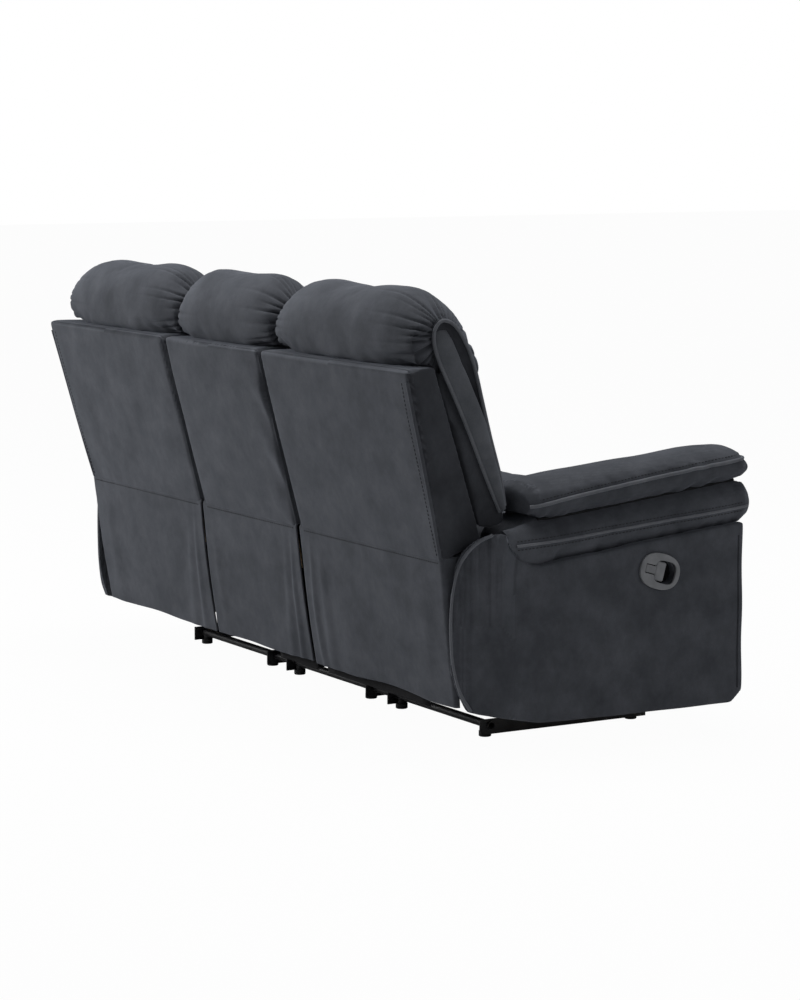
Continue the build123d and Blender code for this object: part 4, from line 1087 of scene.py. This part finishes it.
# Lift off the cloth, and height above the roll's seam.
roll_seams = (("piping", 0.0010, 0.0), ("high_stitches", 0.0003, 0.0095), ("low_stitches", 0.0003, -0.0085))
for name, sign in sides:
    pillow = bpy.data.objects[name + "_arm_pad_cover"]
    roll = bpy.data.objects[name + "_arm_roll_cover"]
    panel = bpy.data.objects[name + "_arm_side_panel_cover"]
    for label, lift, above in (("piping", 0.0020, 0.0), ("stitches", 0.0003, 0.0105)):
        starts = [(sign * outside_x, y, pad_line(y) + above) for y in np.linspace(0.212, -0.380, 29)]
        path = laid_on(pillow, starts, (-sign, 0, 0), lift)
        starts = [(sign * x, -0.7, pad_line(-0.386) + above) for x in np.linspace(0.925, 0.765, 9)]
        path += laid_on(pillow, starts, (0, 1, 0), lift)
        if label == "piping":
            piping(name + "_arm_pad_piping", path, 0.0042, "base")
        else:
            stitches(name + "_arm_pad_stitches", path, "base")
    # Painted shadow: a black strip of lining cloth along the crease between pillow and roll.
    shade = crease((pillow, roll), sign, np.linspace(0.140, -0.375, 40))
    piping(name + "_arm_tuck_painted_shadow", shade, 0.0034, "base", lining)
    for label, lift, above in roll_seams:
        starts = [(sign * outside_x, y, roll_line(y) + above) for y in np.linspace(0.214, -0.392, 29)]
        path = laid_on(roll, starts, (-sign, 0, 0), lift)
        if label == "piping":
            piping(name + "_arm_roll_piping", path, 0.0032, "base")
        else:
            stitches(name + "_arm_roll_" + label, path, "base")
    starts = [(sign * outside_x, -0.366, z) for z in np.linspace(0.105, 0.445, 12)]
    front = laid_on(panel, starts, (-sign, 0, 0), 0.0)
    # Painted shade: the front piping takes the darker suede.
    piping(name + "_arm_front_piping", front, 0.0024, "base", painted_shade_suede)
    turned = [(sign * (turn_x(y) + 0.0015), y - 0.003, z) for y, z in turned_edge]
    piping(name + "_arm_rear_piping", turned, 0.0036, "base")

# %% [markdown]
# ## Release lever
# A moulded plate with a bowl behind it stands for the cup. The bowl is black as painted shade inside the
# recess, so the opening shows a dark void ahead of a T-shaped paddle, and the paddle's stem lies in a slot
# of the plate. All three are modelled flat in the lever's own tilted plane.

# %% Lever plates and paddles
tilt = math.radians(16.0)
lever_y, lever_z = -0.151, 0.381


def to_lever(piece, sign):
    """Takes a piece from the lever's flat plane, with u to the rear and v up, to its place on the arm."""
    u, v, w = points_of(piece).T
    y = lever_y + u * math.cos(tilt) - v * math.sin(tilt)
    z = lever_z + u * math.sin(tilt) + v * math.cos(tilt)
    put_points(piece, np.c_[sign * (arm_x + w), y, z])
    if sign < 0:
        piece.data.flip_normals()


def rounded_disc(name, middle, half_u, half_v, power, low, high):
    """A disc with a rounded oblong outline, between two heights."""
    bpy.ops.mesh.primitive_cylinder_add(vertices=96, radius=1.0, depth=1.0, location=(0, 0, 0))
    disc = bpy.context.object
    disc.name = name
    u, v, w = points_of(disc).T
    stretch = (np.abs(u) ** power + np.abs(v) ** power) ** (-1 / power)
    u, v = middle + half_u * u * stretch, half_v * v * stretch
    put_points(disc, np.c_[u, v, low + (w + 0.5) * (high - low)])
    return disc


def block(name, u0, u1, v0, v1, low, high):
    """A box in the lever's plane."""
    bpy.ops.mesh.primitive_cube_add(size=1.0, location=(0, 0, 0))
    box = bpy.context.object
    box.name = name
    u, v, w = (points_of(box) + 0.5).T
    put_points(box, np.c_[u0 + u * (u1 - u0), v0 + v * (v1 - v0), low + w * (high - low)])
    return box


def combine(piece, other, operation):
    """A boolean between two pieces; the other one is used up."""
    applied(piece, "BOOLEAN", object=other, operation=operation, solver="EXACT")
    bpy.data.objects.remove(other)


def round_edges(piece, width):
    """Narrow rounded edges."""
    applied(piece, "BEVEL", width=width, segments=2, angle_limit=math.radians(50))


for name, sign in sides:
    plate = rounded_disc(name + "_lever_plate", 0.0, 0.0525, 0.0392, 2.35, 0.0006, 0.0070)
    combine(plate, rounded_disc("opening", -0.013, 0.028, 0.0245, 3.4, -0.01, 0.02), "DIFFERENCE")
    combine(plate, block("slot", 0.010, 0.0392, -0.0103, 0.0103, -0.01, 0.02), "DIFFERENCE")
    round_edges(plate, 0.0012)
    to_lever(plate, sign)
    finish_piece(plate, lever_grey)
    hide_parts(name + "_handle_cup")
    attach(plate, "base")
    bowl = rounded_disc(name + "_lever_bowl_painted_shade", 0.0, 0.0465, 0.0335, 2.35, -0.0235, 0.0030)
    combine(bowl, rounded_disc("hollow", 0.0, 0.0440, 0.0310, 2.35, -0.0215, 0.02), "DIFFERENCE")
    to_lever(bowl, sign)
    # Painted shade: the bowl takes the black lining finish for the shade inside the recess.
    finish_piece(bowl, lining)
    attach(bowl, "base")
    paddle = block(name + "_lever_paddle", -0.013, 0.0135, -0.0212, 0.0212, -0.0010, 0.0062)
    round_edges(paddle, 0.0035)
    combine(paddle, block("stem", 0.008, 0.0375, -0.0085, 0.0085, -0.0005, 0.0050), "UNION")
    round_edges(paddle, 0.0008)
    to_lever(paddle, sign)
    finish_piece(paddle, lever_grey)
    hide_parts(name + "_handle_paddle")
    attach(paddle, name + "_handle")
print("two lever plates, bowls and paddles")

# %% [markdown]
# ## Bare parts
# The mechanism, the feet, the cables and the hidden timber keep their CAD shapes and get their finishes.

# %% Finishes on CAD nodes
slot_finish = {
    "black_steel": black_paint,
    "spring_steel": spring_wire,
    "timber": sawn_pine,
    "grey_plastic": lever_grey,
    "black_plastic": foot_black,
    "lining": lining,
}
for row in frame["record"]["subparts"]:
    finish = slot_finish.get(row["material_slot"])
    if finish:
        node = frame["nodes"][row["node"]]
        node.data.materials.clear()
        node.data.materials.append(finish)
print("finishes on the bare nodes")
